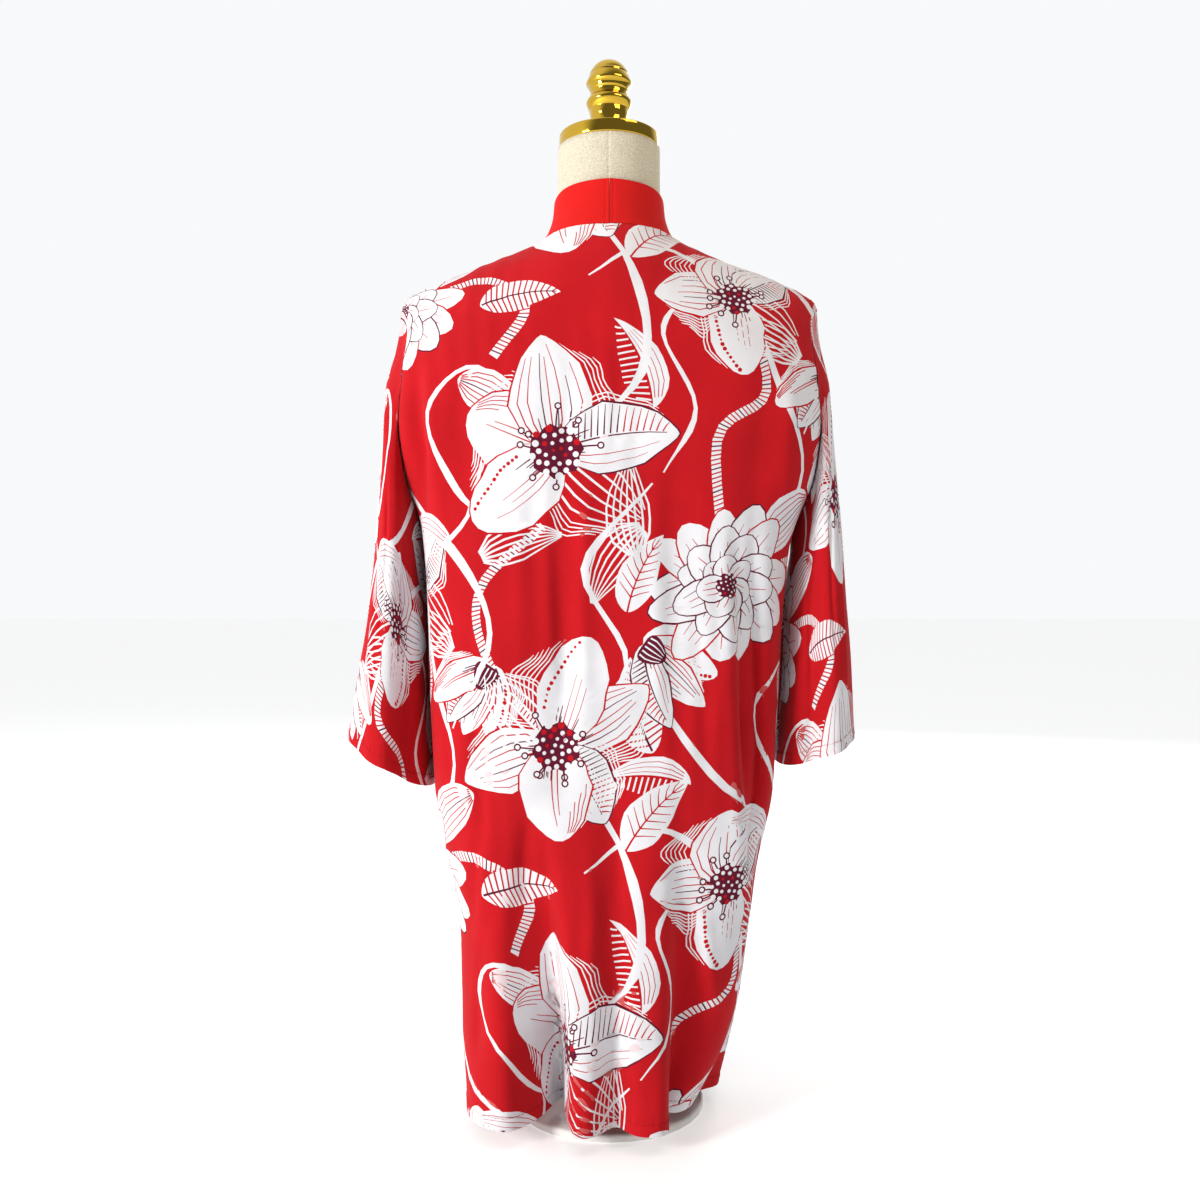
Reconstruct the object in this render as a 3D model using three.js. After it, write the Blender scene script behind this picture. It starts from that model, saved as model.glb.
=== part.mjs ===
// A kimono jacket, worn by a limbless counter-top dress form.
// Millimetres, +Z up. The front of the jacket faces -Y, and the wearer's left is +X.
// The origin is at the underside centre of the round base plate.

import * as THREE from "three";

// Cloth
const wall = 1.6;
const seamGap = 0.3;
const hemZ = 18;
const neckZ = 876;
const collarTopZ = 925;
const bandWidth = 44;

// Armhole: an upright oval in the side of the body
const armholeTop = 806;
const armholeLow = 584;
const armholeHalfDepth = 60;
const armholeSteps = 12;
const sleeveInset = 0.6;

// Dress form
const restGap = 1.4;
const formSides = 32;
const formTopZ = 970.7;
const neckRadius = 52;
const postRadius = 12;
const baseRadius = 96;
const baseThick = 8;
const capRadius = 50.8;
const capZ = 971;
const capThick = 14;
const lipRound = 1.6;
const finialZ = 985.3;

// How finely the pieces are divided
const backColumns = 34;
const frontColumns = 10;
const bandColumns = 3;
const bandBackSteps = 8;
const bandNeckSteps = 14;
const sleeveRows = 13;
const turnSamples = 240;
const turnStep = 0.002;
const heightStep = 0.5;
const turnedSides = 32;
const finialSides = 20;

// Level sections of the jacket's body, from the hem to the neck, and of its standing collar above. x is
// the middle, half the half width, back and front the depths behind and before the shoulder line,
// square how boxy the section is.
const bodySections = [
  { z: 18, x: 15, half: 126, back: 125, front: 116, square: 3.4 },
  { z: 80, x: 10, half: 136, back: 124, front: 117, square: 3.2 },
  { z: 130, x: 6, half: 141, back: 123, front: 118, square: 3.1 },
  { z: 200, x: 4, half: 146, back: 122, front: 118, square: 3.1 },
  { z: 240, x: 4, half: 153, back: 121, front: 118, square: 3.1 },
  { z: 280, x: 5, half: 161, back: 120, front: 118, square: 3.2 },
  { z: 330, x: 5, half: 169, back: 117, front: 117, square: 3.3 },
  { z: 400, x: 5, half: 172, back: 113, front: 117, square: 3.4 },
  { z: 500, x: 4, half: 177, back: 110, front: 119, square: 3.4 },
  { z: 560, x: 3, half: 182, back: 110, front: 122, square: 3.4 },
  { z: 584, x: 2, half: 188, back: 110, front: 123, square: 3.4 },
  { z: 640, x: 0, half: 208, back: 110, front: 125, square: 3.2 },
  { z: 697, x: 0, half: 218, back: 109, front: 124, square: 3.0 },
  { z: 735, x: 0, half: 217, back: 107, front: 118, square: 2.7 },
  { z: 770, x: 0, half: 215, back: 104, front: 108, square: 2.2 },
  { z: 800, x: 0, half: 213.5, back: 100, front: 99, square: 1.75 },
  { z: 812, x: 0, half: 210, back: 97, front: 95, square: 1.6 },
  { z: 822, x: 0, half: 200, back: 94, front: 91, square: 1.5 },
  { z: 831, x: 0, half: 181, back: 91, front: 87, square: 1.5 },
  { z: 840, x: 0, half: 160, back: 88, front: 83, square: 1.5 },
  { z: 848, x: 0, half: 137, back: 84, front: 79, square: 1.5 },
  { z: 856, x: 0, half: 112, back: 80, front: 75, square: 1.6 },
  { z: 866, x: 0, half: 85, back: 73, front: 68, square: 1.8 },
  { z: 876, x: 0, half: 67, back: 66.5, front: 62, square: 2.0 },
  { z: 886, x: 0, half: 61.5, back: 63.5, front: 59.5, square: 2.0 },
  { z: 900, x: 0, half: 57.5, back: 60.5, front: 57, square: 2.0 },
  { z: 925, x: 0, half: 55.5, back: 57, front: 55.5, square: 2.0 },
];

// The largest folds of the body. side 1 is the back and -1 the front. Each runs from xTop at zTop to xLow
// at zEnd, is deepest at zDeep, and is left and right wide on its +X and -X sides.
const bodyFolds = [
  { side: 1, xTop: 66, xLow: 50, zTop: 340, zDeep: 18, zEnd: 0, depth: 86, left: 24, right: 11 },
  { side: 1, xTop: 0, xLow: -5, zTop: 430, zDeep: 18, zEnd: 0, depth: 24, left: 15, right: 15 },
  { side: 1, xTop: -66, xLow: -74, zTop: 360, zDeep: 18, zEnd: 0, depth: 54, left: 13, right: 44 },
  { side: 1, xTop: 44, xLow: 44, zTop: 640, zDeep: 460, zEnd: 250, depth: 8, left: 16, right: 13 },
  { side: 1, xTop: 186, xLow: 184, zTop: 760, zDeep: 660, zEnd: 560, depth: 16, left: 11, right: 9 },
  { side: 1, xTop: -118, xLow: -141, zTop: 600, zDeep: 400, zEnd: 210, depth: 21, left: 10, right: 12 },
  { side: 1, xTop: 112, xLow: 138, zTop: 390, zDeep: 120, zEnd: 0, depth: 9, left: 9, right: 12 },
  { side: 1, xTop: -60, xLow: -66, zTop: 700, zDeep: 520, zEnd: 340, depth: 6, left: 16, right: 18 },
  { side: -1, xTop: 116, xLow: 115, zTop: 540, zDeep: 18, zEnd: 0, depth: 32, left: 14, right: 12 },
  { side: -1, xTop: 152, xLow: 140, zTop: 440, zDeep: 220, zEnd: 50, depth: 12, left: 12, right: 12 },
  { side: -1, xTop: -112, xLow: -84, zTop: 510, zDeep: 18, zEnd: 0, depth: 34, left: 12, right: 14 },
  { side: -1, xTop: -148, xLow: -118, zTop: 470, zDeep: 230, zEnd: 60, depth: 12, left: 12, right: 12 },
];

// Folds fade out this near the side line, and open by this power of the way down.
const foldReach = 30;
const foldGrowth = 1.5;

// Distance of the front edges from the body's middle.
const frontEdges = [
  { z: 18, x: 70 },
  { z: 400, x: 72 },
  { z: 700, x: 72 },
  { z: 770, x: 70.5 },
  { z: 815, x: 68.5 },
  { z: 850, x: 67 },
  { z: 876, x: 66.9 },
];

// The collar band's free edge. along counts from 0 at the middle of the back to 1 at the side of the
// neck, and on down the front edge to 2, where the band lies flat. rise is how far the edge stands above
// the seam, share how much of its flat width it has turned to the front.
const bandEdge = [
  { along: 0, share: 0, rise: 47 },
  { along: 0.5, share: 0, rise: 45 },
  { along: 1, share: 0, rise: 37 },
  { along: 1.2, share: 0.35, rise: 30 },
  { along: 1.5, share: 0.66, rise: 19 },
  { along: 1.8, share: 0.9, rise: 8 },
  { along: 2, share: 1, rise: 0 },
];
const bandFlatZ = 740;
const bandNeckGrowth = 1.7;

// Upright sections of the two sleeves: the outer and inner walls, and the half depth front to back.
const sleeveSections = {
  left: [
    { z: 320, out: 268, inn: 178, deep: 77 },
    { z: 378, out: 262, inn: 180, deep: 76 },
    { z: 440, out: 252, inn: 183, deep: 74 },
    { z: 508, out: 241, inn: 186, deep: 70 },
    { z: 567, out: 234, inn: 189.5, deep: 66 },
    { z: 645, out: 229, inn: 191, deep: 63 },
    { z: 714, out: 225, inn: 192, deep: 62 },
    { z: 780, out: 218, inn: 196, deep: 60 },
    { z: 806, out: 213, inn: 200, deep: 60 },
  ],
  right: [
    { z: 320, out: 248, inn: 171, deep: 80 },
    { z: 376, out: 246, inn: 172.5, deep: 79 },
    { z: 449, out: 243, inn: 177, deep: 76 },
    { z: 508, out: 238, inn: 180, deep: 71 },
    { z: 567, out: 233.5, inn: 186, deep: 66 },
    { z: 645, out: 227, inn: 189, deep: 63 },
    { z: 714, out: 222, inn: 191, deep: 62 },
    { z: 780, out: 217, inn: 196, deep: 60 },
    { z: 806, out: 213, inn: 200, deep: 60 },
  ],
};
const cuffs = {
  left: { outer: 378, inner: 325 },
  right: { outer: 376, inner: 347 },
};
const sleeveTurnDown = 75;
const sleeveRowGrowth = 1.15;
const sleeveFoldOpening = 200;
// Where round the armhole, from the top to the underarm, the sleeve's wall turns over from lying level with
// the body's cloth to folding back on it.
const rimTurn = { from: 0.42, to: 0.8 };
const sleeveSquare = 0.86;

// Long soft folds of the sleeves. turn is in degrees from the outer side, past the back.
const sleeveFolds = {
  left: [
    { turn: 122, wide: 17, zTop: 640, depth: 15 },
    { turn: 62, wide: 20, zTop: 560, depth: 7 },
    { turn: 250, wide: 22, zTop: 600, depth: 11 },
  ],
  right: [
    { turn: 112, wide: 18, zTop: 620, depth: 13 },
    { turn: 50, wide: 20, zTop: 520, depth: 6 },
    { turn: 240, wide: 22, zTop: 580, depth: 12 },
  ],
};

// Level sections of the dress form below the shoulders.
const formSections = [
  { z: 213, half: 118, back: 66, front: 64, square: 2.2 },
  { z: 219, half: 134, back: 84, front: 80, square: 2.2 },
  { z: 235, half: 143, back: 93, front: 88, square: 2.2 },
  { z: 265, half: 149, back: 99, front: 93, square: 2.2 },
  { z: 310, half: 151, back: 101, front: 94, square: 2.3 },
  { z: 360, half: 143, back: 97, front: 92, square: 2.3 },
  { z: 420, half: 128, back: 88, front: 90, square: 2.2 },
  { z: 475, half: 118, back: 82, front: 88, square: 2.2 },
  { z: 530, half: 124, back: 86, front: 93, square: 2.2 },
  { z: 585, half: 138, back: 94, front: 107, square: 2.3 },
  { z: 640, half: 150, back: 100, front: 117, square: 2.4 },
  { z: 700, half: 164, back: 102, front: 115, square: 2.4 },
  { z: 745, half: 182, back: 101, front: 108, square: 2.3 },
  { z: 775, half: 197, back: 99, front: 101, square: 2.1 },
];
const shoulderRows = [806, 821, 834, 847, 861, 874];
const neckRows = [
  { z: 886, radius: 56.5 },
  { z: 900, radius: 52.6 },
  { z: 935, radius: neckRadius },
  { z: formTopZ, radius: neckRadius },
];

const colours = {
  printed: { color: 0xcf2420, roughness: 0.85, metalness: 0 },
  plain: { color: 0xd8281f, roughness: 0.85, metalness: 0 },
  linen: { color: 0xd9d2c4, roughness: 0.9, metalness: 0 },
  gold: { color: 0xd9a632, roughness: 0.18, metalness: 1 },
  enamel: { color: 0xe6e3dc, roughness: 0.4, metalness: 0 },
};

const materialOf = (name) => new THREE.MeshStandardMaterial(colours[name]);

const clamp01 = (t) => Math.min(1, Math.max(0, t));
const mix = (a, b, t) => a + (b - a) * t;
const smooth = (t) => clamp01(t) ** 2 * (3 - 2 * clamp01(t));

// A table's column read between its rows, with no overshoot. The rows rise in the column named by.
function read(rows, column, by, at) {
  const last = rows.length - 1;
  if (at <= rows[0][by]) return rows[0][column];
  if (at >= rows[last][by]) return rows[last][column];
  let i = 0;
  while (rows[i + 1][by] < at) i += 1;
  const rise = (k) =>
    (rows[k + 1][column] - rows[k][column]) / (rows[k + 1][by] - rows[k][by]);
  const slope = (k) => {
    if (k === 0) return rise(0);
    if (k === last) return rise(last - 1);
    const before = rise(k - 1);
    const after = rise(k);
    return before * after <= 0 ? 0 : (2 * before * after) / (before + after);
  };
  const step = rows[i + 1][by] - rows[i][by];
  const t = (at - rows[i][by]) / step;
  const from = rows[i][column] * (1 + 2 * t) * (1 - t) ** 2;
  const to = rows[i + 1][column] * t * t * (3 - 2 * t);
  return from + to + step * (slope(i) * t * (1 - t) ** 2 - slope(i + 1) * t * t * (1 - t));
}

// How far a fold dents the body at a place on its level section.
function dentAt(fold, x, y, z) {
  const onSide = smooth((fold.side * y) / foldReach);
  if (onSide === 0 || z > fold.zTop) return 0;
  const opening = clamp01((fold.zTop - z) / (fold.zTop - fold.zDeep)) ** foldGrowth;
  const closing = smooth((z - fold.zEnd) / (fold.zDeep - fold.zEnd));
  const middle = mix(fold.xTop, fold.xLow, clamp01((fold.zTop - z) / (fold.zTop - fold.zEnd)));
  const away = (x - middle) / (x > middle ? fold.left : fold.right);
  return fold.depth * opening * closing * onSide * Math.exp(-away * away);
}

// A place on a level section. turn is the direction from the middle, 0 at the back and +90 degrees at +X.
function sectionPlace(section, turn, z, folds = []) {
  const sin = Math.sin(turn);
  const cos = Math.cos(turn);
  const depth = cos >= 0 ? section.back : section.front;
  const across = Math.abs(sin) / section.half;
  const along = Math.abs(cos) / depth;
  const radius = 1 / (across ** section.square + along ** section.square) ** (1 / section.square);
  const x = radius * sin;
  const y = radius * cos;
  const normal = new THREE.Vector2(
    (Math.sign(sin) * (Math.abs(x) / section.half) ** (section.square - 1)) / section.half,
    (Math.sign(cos) * (Math.abs(y) / depth) ** (section.square - 1)) / depth,
  ).normalize();
  let dent = 0;
  for (const fold of folds) dent += dentAt(fold, x + section.x, y, z);
  return new THREE.Vector3(section.x + x - normal.x * dent, y - normal.y * dent, z);
}

function sectionAt(rows, z) {
  return {
    x: rows[0].x === undefined ? 0 : read(rows, "x", "z", z),
    half: read(rows, "half", "z", z),
    back: read(rows, "back", "z", z),
    front: read(rows, "front", "z", z),
    square: read(rows, "square", "z", z),
  };
}

const bodyPlace = (turn, z) => sectionPlace(sectionAt(bodySections, z), turn, z, bodyFolds);

const plainPlace = (turn, z) => sectionPlace(sectionAt(bodySections, z), turn, z);

// The direction that faces out of the body's cloth.
function bodyNormal(turn, z, place = bodyPlace) {
  const low = Math.max(z - heightStep, hemZ);
  const high = Math.min(z + heightStep, collarTopZ);
  const around = place(turn + turnStep, z).sub(place(turn - turnStep, z));
  const up = place(turn, high).sub(place(turn, low));
  return up.cross(around).normalize();
}

// The turn at which the plain section reaches a depth y on one side, or a distance x before the middle.
function turnAtDepth(z, side, y) {
  const section = sectionAt(bodySections, z);
  const depth = y >= 0 ? section.back : section.front;
  const x = section.half * (1 - (Math.abs(y) / depth) ** section.square) ** (1 / section.square);
  return Math.atan2(side * x, y);
}

function turnAtFront(z, side, x) {
  const section = sectionAt(bodySections, z);
  const share = clamp01(x / section.half) ** section.square;
  return Math.atan2(side * x, -section.front * (1 - share) ** (1 / section.square));
}

const armholeMiddle = (armholeTop + armholeLow) / 2;
const armholeHalf = (armholeTop - armholeLow) / 2;
const armholeZ = (angle, inset = 0) => armholeMiddle + (armholeHalf - inset) * Math.cos(angle);
const armholeY = (angle, inset) => (armholeHalfDepth - inset) * Math.sin(angle);

// Depth at which a back or front panel ends at the side: at the armhole, or at the seam.
function sideEdge(z) {
  const share = (z - armholeMiddle) / armholeHalf;
  if (Math.abs(share) >= 1) return seamGap / 2;
  return Math.max(seamGap / 2, armholeHalfDepth * Math.sqrt(1 - share * share));
}

// Heights of the rows, shared by the panels and the sleeves' armholes.
function bodyRows() {
  const rows = [hemZ, 40, 66, 96, 130, 165, 200, 238, 278, 320, 368, 420, 475, 530];
  for (let k = armholeSteps; k >= 0; k -= 1) rows.push(armholeZ((Math.PI * k) / armholeSteps));
  return rows.concat(shoulderRows.slice(1, -1));
}

// Turns evenly spaced along one level row's plain section.
function evenTurns(z, from, to, count) {
  const section = sectionAt(bodySections, z);
  const lengths = [0];
  let before = sectionPlace(section, from, z);
  for (let i = 1; i <= turnSamples; i += 1) {
    const here = sectionPlace(section, mix(from, to, i / turnSamples), z);
    lengths.push(lengths[i - 1] + here.distanceTo(before));
    before = here;
  }
  const turns = [];
  let i = 0;
  for (let k = 0; k <= count; k += 1) {
    const wanted = (lengths[turnSamples] * k) / count;
    while (i < turnSamples - 1 && lengths[i + 1] < wanted) i += 1;
    const t = (wanted - lengths[i]) / (lengths[i + 1] - lengths[i]);
    turns.push(mix(from, to, (i + clamp01(t)) / turnSamples));
  }
  return turns;
}

// A closed wall from rows of outer points and their outward normals. A row that is closed joins its ends.
function wallGeometry(outer, normals, thick, closed = false) {
  const rows = outer.length;
  const columns = outer[0].length;
  const positions = [];
  const put = (point) => positions.push(point.x, point.y, point.z);
  for (const row of outer) row.forEach(put);
  outer.forEach((row, j) =>
    row.forEach((point, i) => put(point.clone().addScaledVector(normals[j][i], -thick))),
  );
  const inside = rows * columns;
  const id = (j, i) => j * columns + (i % columns);
  const faces = [];
  const quad = (a, b, c, d) => faces.push(a, b, c, a, c, d);
  const spans = closed ? columns : columns - 1;
  for (let j = 0; j < rows - 1; j += 1)
    for (let i = 0; i < spans; i += 1) {
      const [a, b, c, d] = [id(j, i), id(j, i + 1), id(j + 1, i + 1), id(j + 1, i)];
      quad(a, b, c, d);
      quad(a + inside, d + inside, c + inside, b + inside);
    }
  for (let i = 0; i < spans; i += 1) {
    const [a, b] = [id(0, i), id(0, i + 1)];
    quad(b, a, a + inside, b + inside);
    const [c, d] = [id(rows - 1, i), id(rows - 1, i + 1)];
    quad(c, d, d + inside, c + inside);
  }
  for (let j = 0; j < rows - 1 && !closed; j += 1) {
    const [a, b] = [id(j, 0), id(j + 1, 0)];
    quad(a, b, b + inside, a + inside);
    const [c, d] = [id(j, columns - 1), id(j + 1, columns - 1)];
    quad(d, c, c + inside, d + inside);
  }
  return solidGeometry(positions, faces);
}

function solidGeometry(positions, faces) {
  const geometry = new THREE.BufferGeometry();
  geometry.setAttribute("position", new THREE.Float32BufferAttribute(positions, 3));
  geometry.setIndex(faces);
  geometry.computeVertexNormals();
  return geometry;
}

// Rows of a body panel between two turns that change with height.
function panelGeometry(rows, columns, firstTurn, lastTurn) {
  const outer = [];
  const normals = [];
  for (const z of rows) {
    const turns = evenTurns(z, firstTurn(z), lastTurn(z), columns);
    outer.push(turns.map((turn) => bodyPlace(turn, z)));
    normals.push(turns.map((turn) => bodyNormal(turn, z)));
  }
  return wallGeometry(outer, normals, wall);
}

function backGeometry() {
  const rows = bodyRows().concat([neckZ]);
  const edge = (side) => (z) => turnAtDepth(z, side, sideEdge(z));
  return panelGeometry(rows, backColumns, edge(1), edge(-1));
}

function frontGeometry(side) {
  const rows = bodyRows().concat([869, 874.6]);
  const atSide = (z) => turnAtDepth(z, side, -sideEdge(z));
  const atEdge = (z) => turnAtFront(z, side, read(frontEdges, "x", "z", z) + seamGap / 2);
  return side > 0
    ? panelGeometry(rows, frontColumns, atEdge, atSide)
    : panelGeometry(rows, frontColumns, atSide, atEdge);
}

// The collar band: round the back of the neck, then down one front edge to the hem.
function bandStations() {
  const stations = [];
  for (let i = 0; i <= bandBackSteps; i += 1) stations.push({ along: i / bandBackSteps, z: neckZ });
  for (let i = 1; i <= bandNeckSteps; i += 1) {
    const t = i / bandNeckSteps;
    stations.push({ along: 1 + t, z: mix(neckZ, bandFlatZ, t ** bandNeckGrowth) });
  }
  const flatRows = bodyRows().filter((z) => z < bandFlatZ - heightStep);
  for (const z of flatRows.reverse()) stations.push({ along: 2, z });
  return stations;
}

// Turn and height of a place on the band; across runs from 0 at the seam to 1 at the free edge.
function bandTurn(side, station, across) {
  const { along, z } = station;
  const share = read(bandEdge, "share", "along", along);
  const lift = mix(seamGap * clamp01(2 - along), read(bandEdge, "rise", "along", along), across);
  const edge = read(frontEdges, "x", "z", z) - seamGap / 2;
  const middleGap = (0.7 * seamGap) / sectionAt(bodySections, neckZ).back;
  const seam =
    along <= 1 ? side * mix(middleGap, Math.PI / 2, along) : turnAtFront(z, side, edge);
  const flat = turnAtFront(z, side, edge - bandWidth);
  return { turn: seam + (flat - seam) * share * across, z: z + lift };
}

function bandGeometry(side) {
  const places = bandStations().map((station) => {
    const row = [];
    for (let i = 0; i <= bandColumns; i += 1) row.push(bandTurn(side, station, i / bandColumns));
    return side > 0 ? row : row.reverse();
  });
  const outer = places.map((row) => row.map(({ turn, z }) => bodyPlace(turn, z)));
  const normals = places.map((row) => row.map(({ turn, z }) => bodyNormal(turn, z)));
  return wallGeometry(outer, normals, wall);
}

// Normals of a tube's grid of points from their neighbours; facing is 1 or -1.
function tubeNormals(grid, facing) {
  return grid.map((row, j) =>
    row.map((point, i) => {
      const around = row[(i + 1) % row.length].clone().sub(row.at(i - 1));
      const above = grid[Math.max(j - 1, 0)][i];
      const below = grid[Math.min(j + 1, grid.length - 1)][i];
      return below.clone().sub(above).cross(around).multiplyScalar(facing).normalize();
    }),
  );
}

// A sleeve: from its armhole the cloth turns down and hangs as an upright flattened tube.
function sleevePlace(name, side, angle, down) {
  const rimZ = armholeZ(angle, sleeveInset);
  const turn = turnAtDepth(rimZ, side, armholeY(angle, sleeveInset));
  const rim = bodyPlace(turn, rimZ).addScaledVector(bodyNormal(turn, rimZ), sleeveInset);
  const cuff = cuffs[name];
  const cos = Math.cos(angle);
  const sin = Math.sin(angle);
  const cuffZ = mix(cuff.inner, cuff.outer, (1 + cos) / 2);
  const z = mix(rimZ, cuffZ, down);
  const rows = sleeveSections[name];
  const out = read(rows, "out", "z", z);
  const inn = read(rows, "inn", "z", z);
  const deep = read(rows, "deep", "z", z);
  let dent = 0;
  for (const fold of sleeveFolds[name]) {
    const degrees = THREE.MathUtils.radToDeg(angle);
    const away = (((degrees - fold.turn + 540) % 360) - 180) / fold.wide;
    dent += fold.depth * smooth((fold.zTop - z) / sleeveFoldOpening) * Math.exp(-away * away);
  }
  const halfWide = (out - inn) / 2 - dent * Math.abs(cos);
  const halfDeep = deep - dent * Math.abs(sin);
  const x = (out + inn) / 2 + halfWide * Math.sign(cos) * Math.abs(cos) ** sleeveSquare;
  const y = halfDeep * Math.sign(sin) * Math.abs(sin) ** sleeveSquare;
  const turned = smooth((rimZ - z) / sleeveTurnDown);
  return new THREE.Vector3(mix(rim.x, side * x, turned), mix(rim.y, y, turned), z);
}

function sleeveGeometry(name, side) {
  const columns = 2 * armholeSteps;
  const outer = [];
  for (let j = 0; j <= sleeveRows; j += 1) {
    const row = [];
    for (let i = 0; i < columns; i += 1)
      row.push(sleevePlace(name, side, (2 * Math.PI * i) / columns, (j / sleeveRows) ** sleeveRowGrowth));
    outer.push(row);
  }
  const normals = tubeNormals(outer, side);
  normals[0] = normals[0].map((normal, i) => {
    const angle = (2 * Math.PI * i) / columns;
    const z = armholeZ(angle, sleeveInset);
    const atBody = bodyNormal(turnAtDepth(z, side, armholeY(angle, sleeveInset)), z);
    const fromTop = Math.min(i, columns - i) / armholeSteps;
    return atBody.lerp(normal, smooth((fromTop - rimTurn.from) / (rimTurn.to - rimTurn.from))).normalize();
  });
  if (side < 0) return wallGeometry(outer, normals, wall, true);
  return wallGeometry(outer.map((r) => r.reverse()), normals.map((r) => r.reverse()), wall, true);
}

// A closed solid through level rings, the lowest first, with a flat fan at each end.
function ringsGeometry(rings) {
  const sides = rings[0].length;
  const positions = [];
  for (const ring of rings) for (const point of ring) positions.push(point.x, point.y, point.z);
  const faces = [];
  for (let j = 0; j < rings.length - 1; j += 1)
    for (let i = 0; i < sides; i += 1) {
      const [a, b] = [j * sides + i, j * sides + ((i + 1) % sides)];
      faces.push(a, b + sides, b, a, a + sides, b + sides);
    }
  [0, rings.length - 1].forEach((j, isTop) => {
    const centre = new THREE.Vector3();
    rings[j].forEach((point) => centre.addScaledVector(point, 1 / sides));
    positions.push(centre.x, centre.y, centre.z);
    const middle = positions.length / 3 - 1;
    for (let i = 0; i < sides; i += 1) {
      const [a, b] = [j * sides + i, j * sides + ((i + 1) % sides)];
      faces.push(...(isTop ? [a, middle, b] : [a, b, middle]));
    }
  });
  return solidGeometry(positions, faces);
}

// The dress form: trunk and neck in one, its shoulders just inside the cloth that lies on them.
function formGeometry() {
  const turns = [];
  for (let i = 0; i < formSides; i += 1) turns.push((2 * Math.PI * i) / formSides);
  const trunk = formSections.map(({ z }) =>
    turns.map((turn) => sectionPlace(sectionAt(formSections, z), turn, z)),
  );
  const shoulders = shoulderRows.map((z) =>
    turns.map((turn) => {
      const inward = bodyNormal(turn, z, plainPlace).multiplyScalar(-(wall + restGap));
      return plainPlace(turn, z).add(inward);
    }),
  );
  const neck = neckRows.map(({ z, radius }) =>
    turns.map((turn) => new THREE.Vector3(radius * Math.sin(turn), radius * Math.cos(turn), z)),
  );
  return ringsGeometry([...trunk, ...shoulders, ...neck]);
}

// A turned solid. Its profile runs from the axis below, outwards and up, to the axis above.
function turnedGeometry(profile, segments = turnedSides) {
  const geometry = new THREE.LatheGeometry(profile, segments);
  geometry.rotateX(Math.PI / 2);
  return geometry;
}

const at = (radius, z) => new THREE.Vector2(radius, z);

function arc(centreR, centreZ, radiusR, radiusZ, fromDegrees, toDegrees, steps) {
  const points = [];
  for (let i = 0; i <= steps; i += 1) {
    const angle = THREE.MathUtils.degToRad(mix(fromDegrees, toDegrees, i / steps));
    points.push(at(centreR + radiusR * Math.cos(angle), centreZ + radiusZ * Math.sin(angle)));
  }
  return points;
}

function capGeometry() {
  const low = capZ;
  const high = capZ + capThick;
  const core = capRadius - lipRound;
  return turnedGeometry([
    at(0, low),
    ...arc(core, low + lipRound, lipRound, lipRound, -90, 0, 2),
    ...arc(core, high - lipRound, lipRound, lipRound, 0, 90, 2),
    at(0, high),
  ]);
}

// Two beads and a dome on a short foot.
function finialGeometry() {
  const footRadius = 23;
  const stemRadius = 19.2;
  return turnedGeometry(
    [
      at(0, finialZ),
      ...arc(footRadius - 1.5, finialZ + 3, 1.5, 3, -90, 60, 3),
      at(stemRadius, finialZ + 10),
      at(stemRadius, finialZ + 22),
      ...arc(stemRadius - 1, 1019.6, 5.1, 7.2, -60, 60, 5),
      at(stemRadius, 1028.4),
      ...arc(stemRadius - 1, 1036.6, 5.2, 6.4, -60, 55, 5),
      ...arc(0, 1043, 20.4, 19.7, 5, 78, 6),
      at(0, 1062.7),
    ],
    finialSides,
  );
}

function postGeometry() {
  const collarRadius = 24;
  const top = formSections[0].z - seamGap;
  return turnedGeometry(
    [
      at(0, baseThick + seamGap),
      at(collarRadius, baseThick + seamGap),
      at(collarRadius, baseThick + 6),
      at(postRadius, baseThick + 14),
      at(postRadius, top),
      at(0, top),
    ],
    finialSides,
  );
}

function baseGeometry() {
  return turnedGeometry([
    at(0, 0),
    at(baseRadius - 1, 0),
    at(baseRadius, 1),
    ...arc(baseRadius - 3, baseThick - 3, 3, 3, 0, 90, 3),
    at(0, baseThick),
  ]);
}

function piece(name, geometry, material) {
  const mesh = new THREE.Mesh(geometry, materialOf(material));
  mesh.name = name;
  return mesh;
}

const jacket = new THREE.Group();
jacket.add(
  piece("back", backGeometry(), "printed"),
  piece("front_left", frontGeometry(1), "printed"),
  piece("front_right", frontGeometry(-1), "printed"),
  piece("sleeve_left", sleeveGeometry("left", 1), "printed"),
  piece("sleeve_right", sleeveGeometry("right", -1), "printed"),
  piece("band_left", bandGeometry(1), "plain"),
  piece("band_right", bandGeometry(-1), "plain"),
);

const stand = new THREE.Group();
stand.add(
  piece("form", formGeometry(), "linen"),
  piece("neck_cap", capGeometry(), "gold"),
  piece("finial", finialGeometry(), "gold"),
  piece("post", postGeometry(), "enamel"),
  piece("base", baseGeometry(), "enamel"),
);

const whole = new THREE.Group();
whole.add(jacket, stand);

export default whole;
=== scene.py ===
import math
import bpy
import numpy as np
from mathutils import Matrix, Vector, geometry


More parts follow.
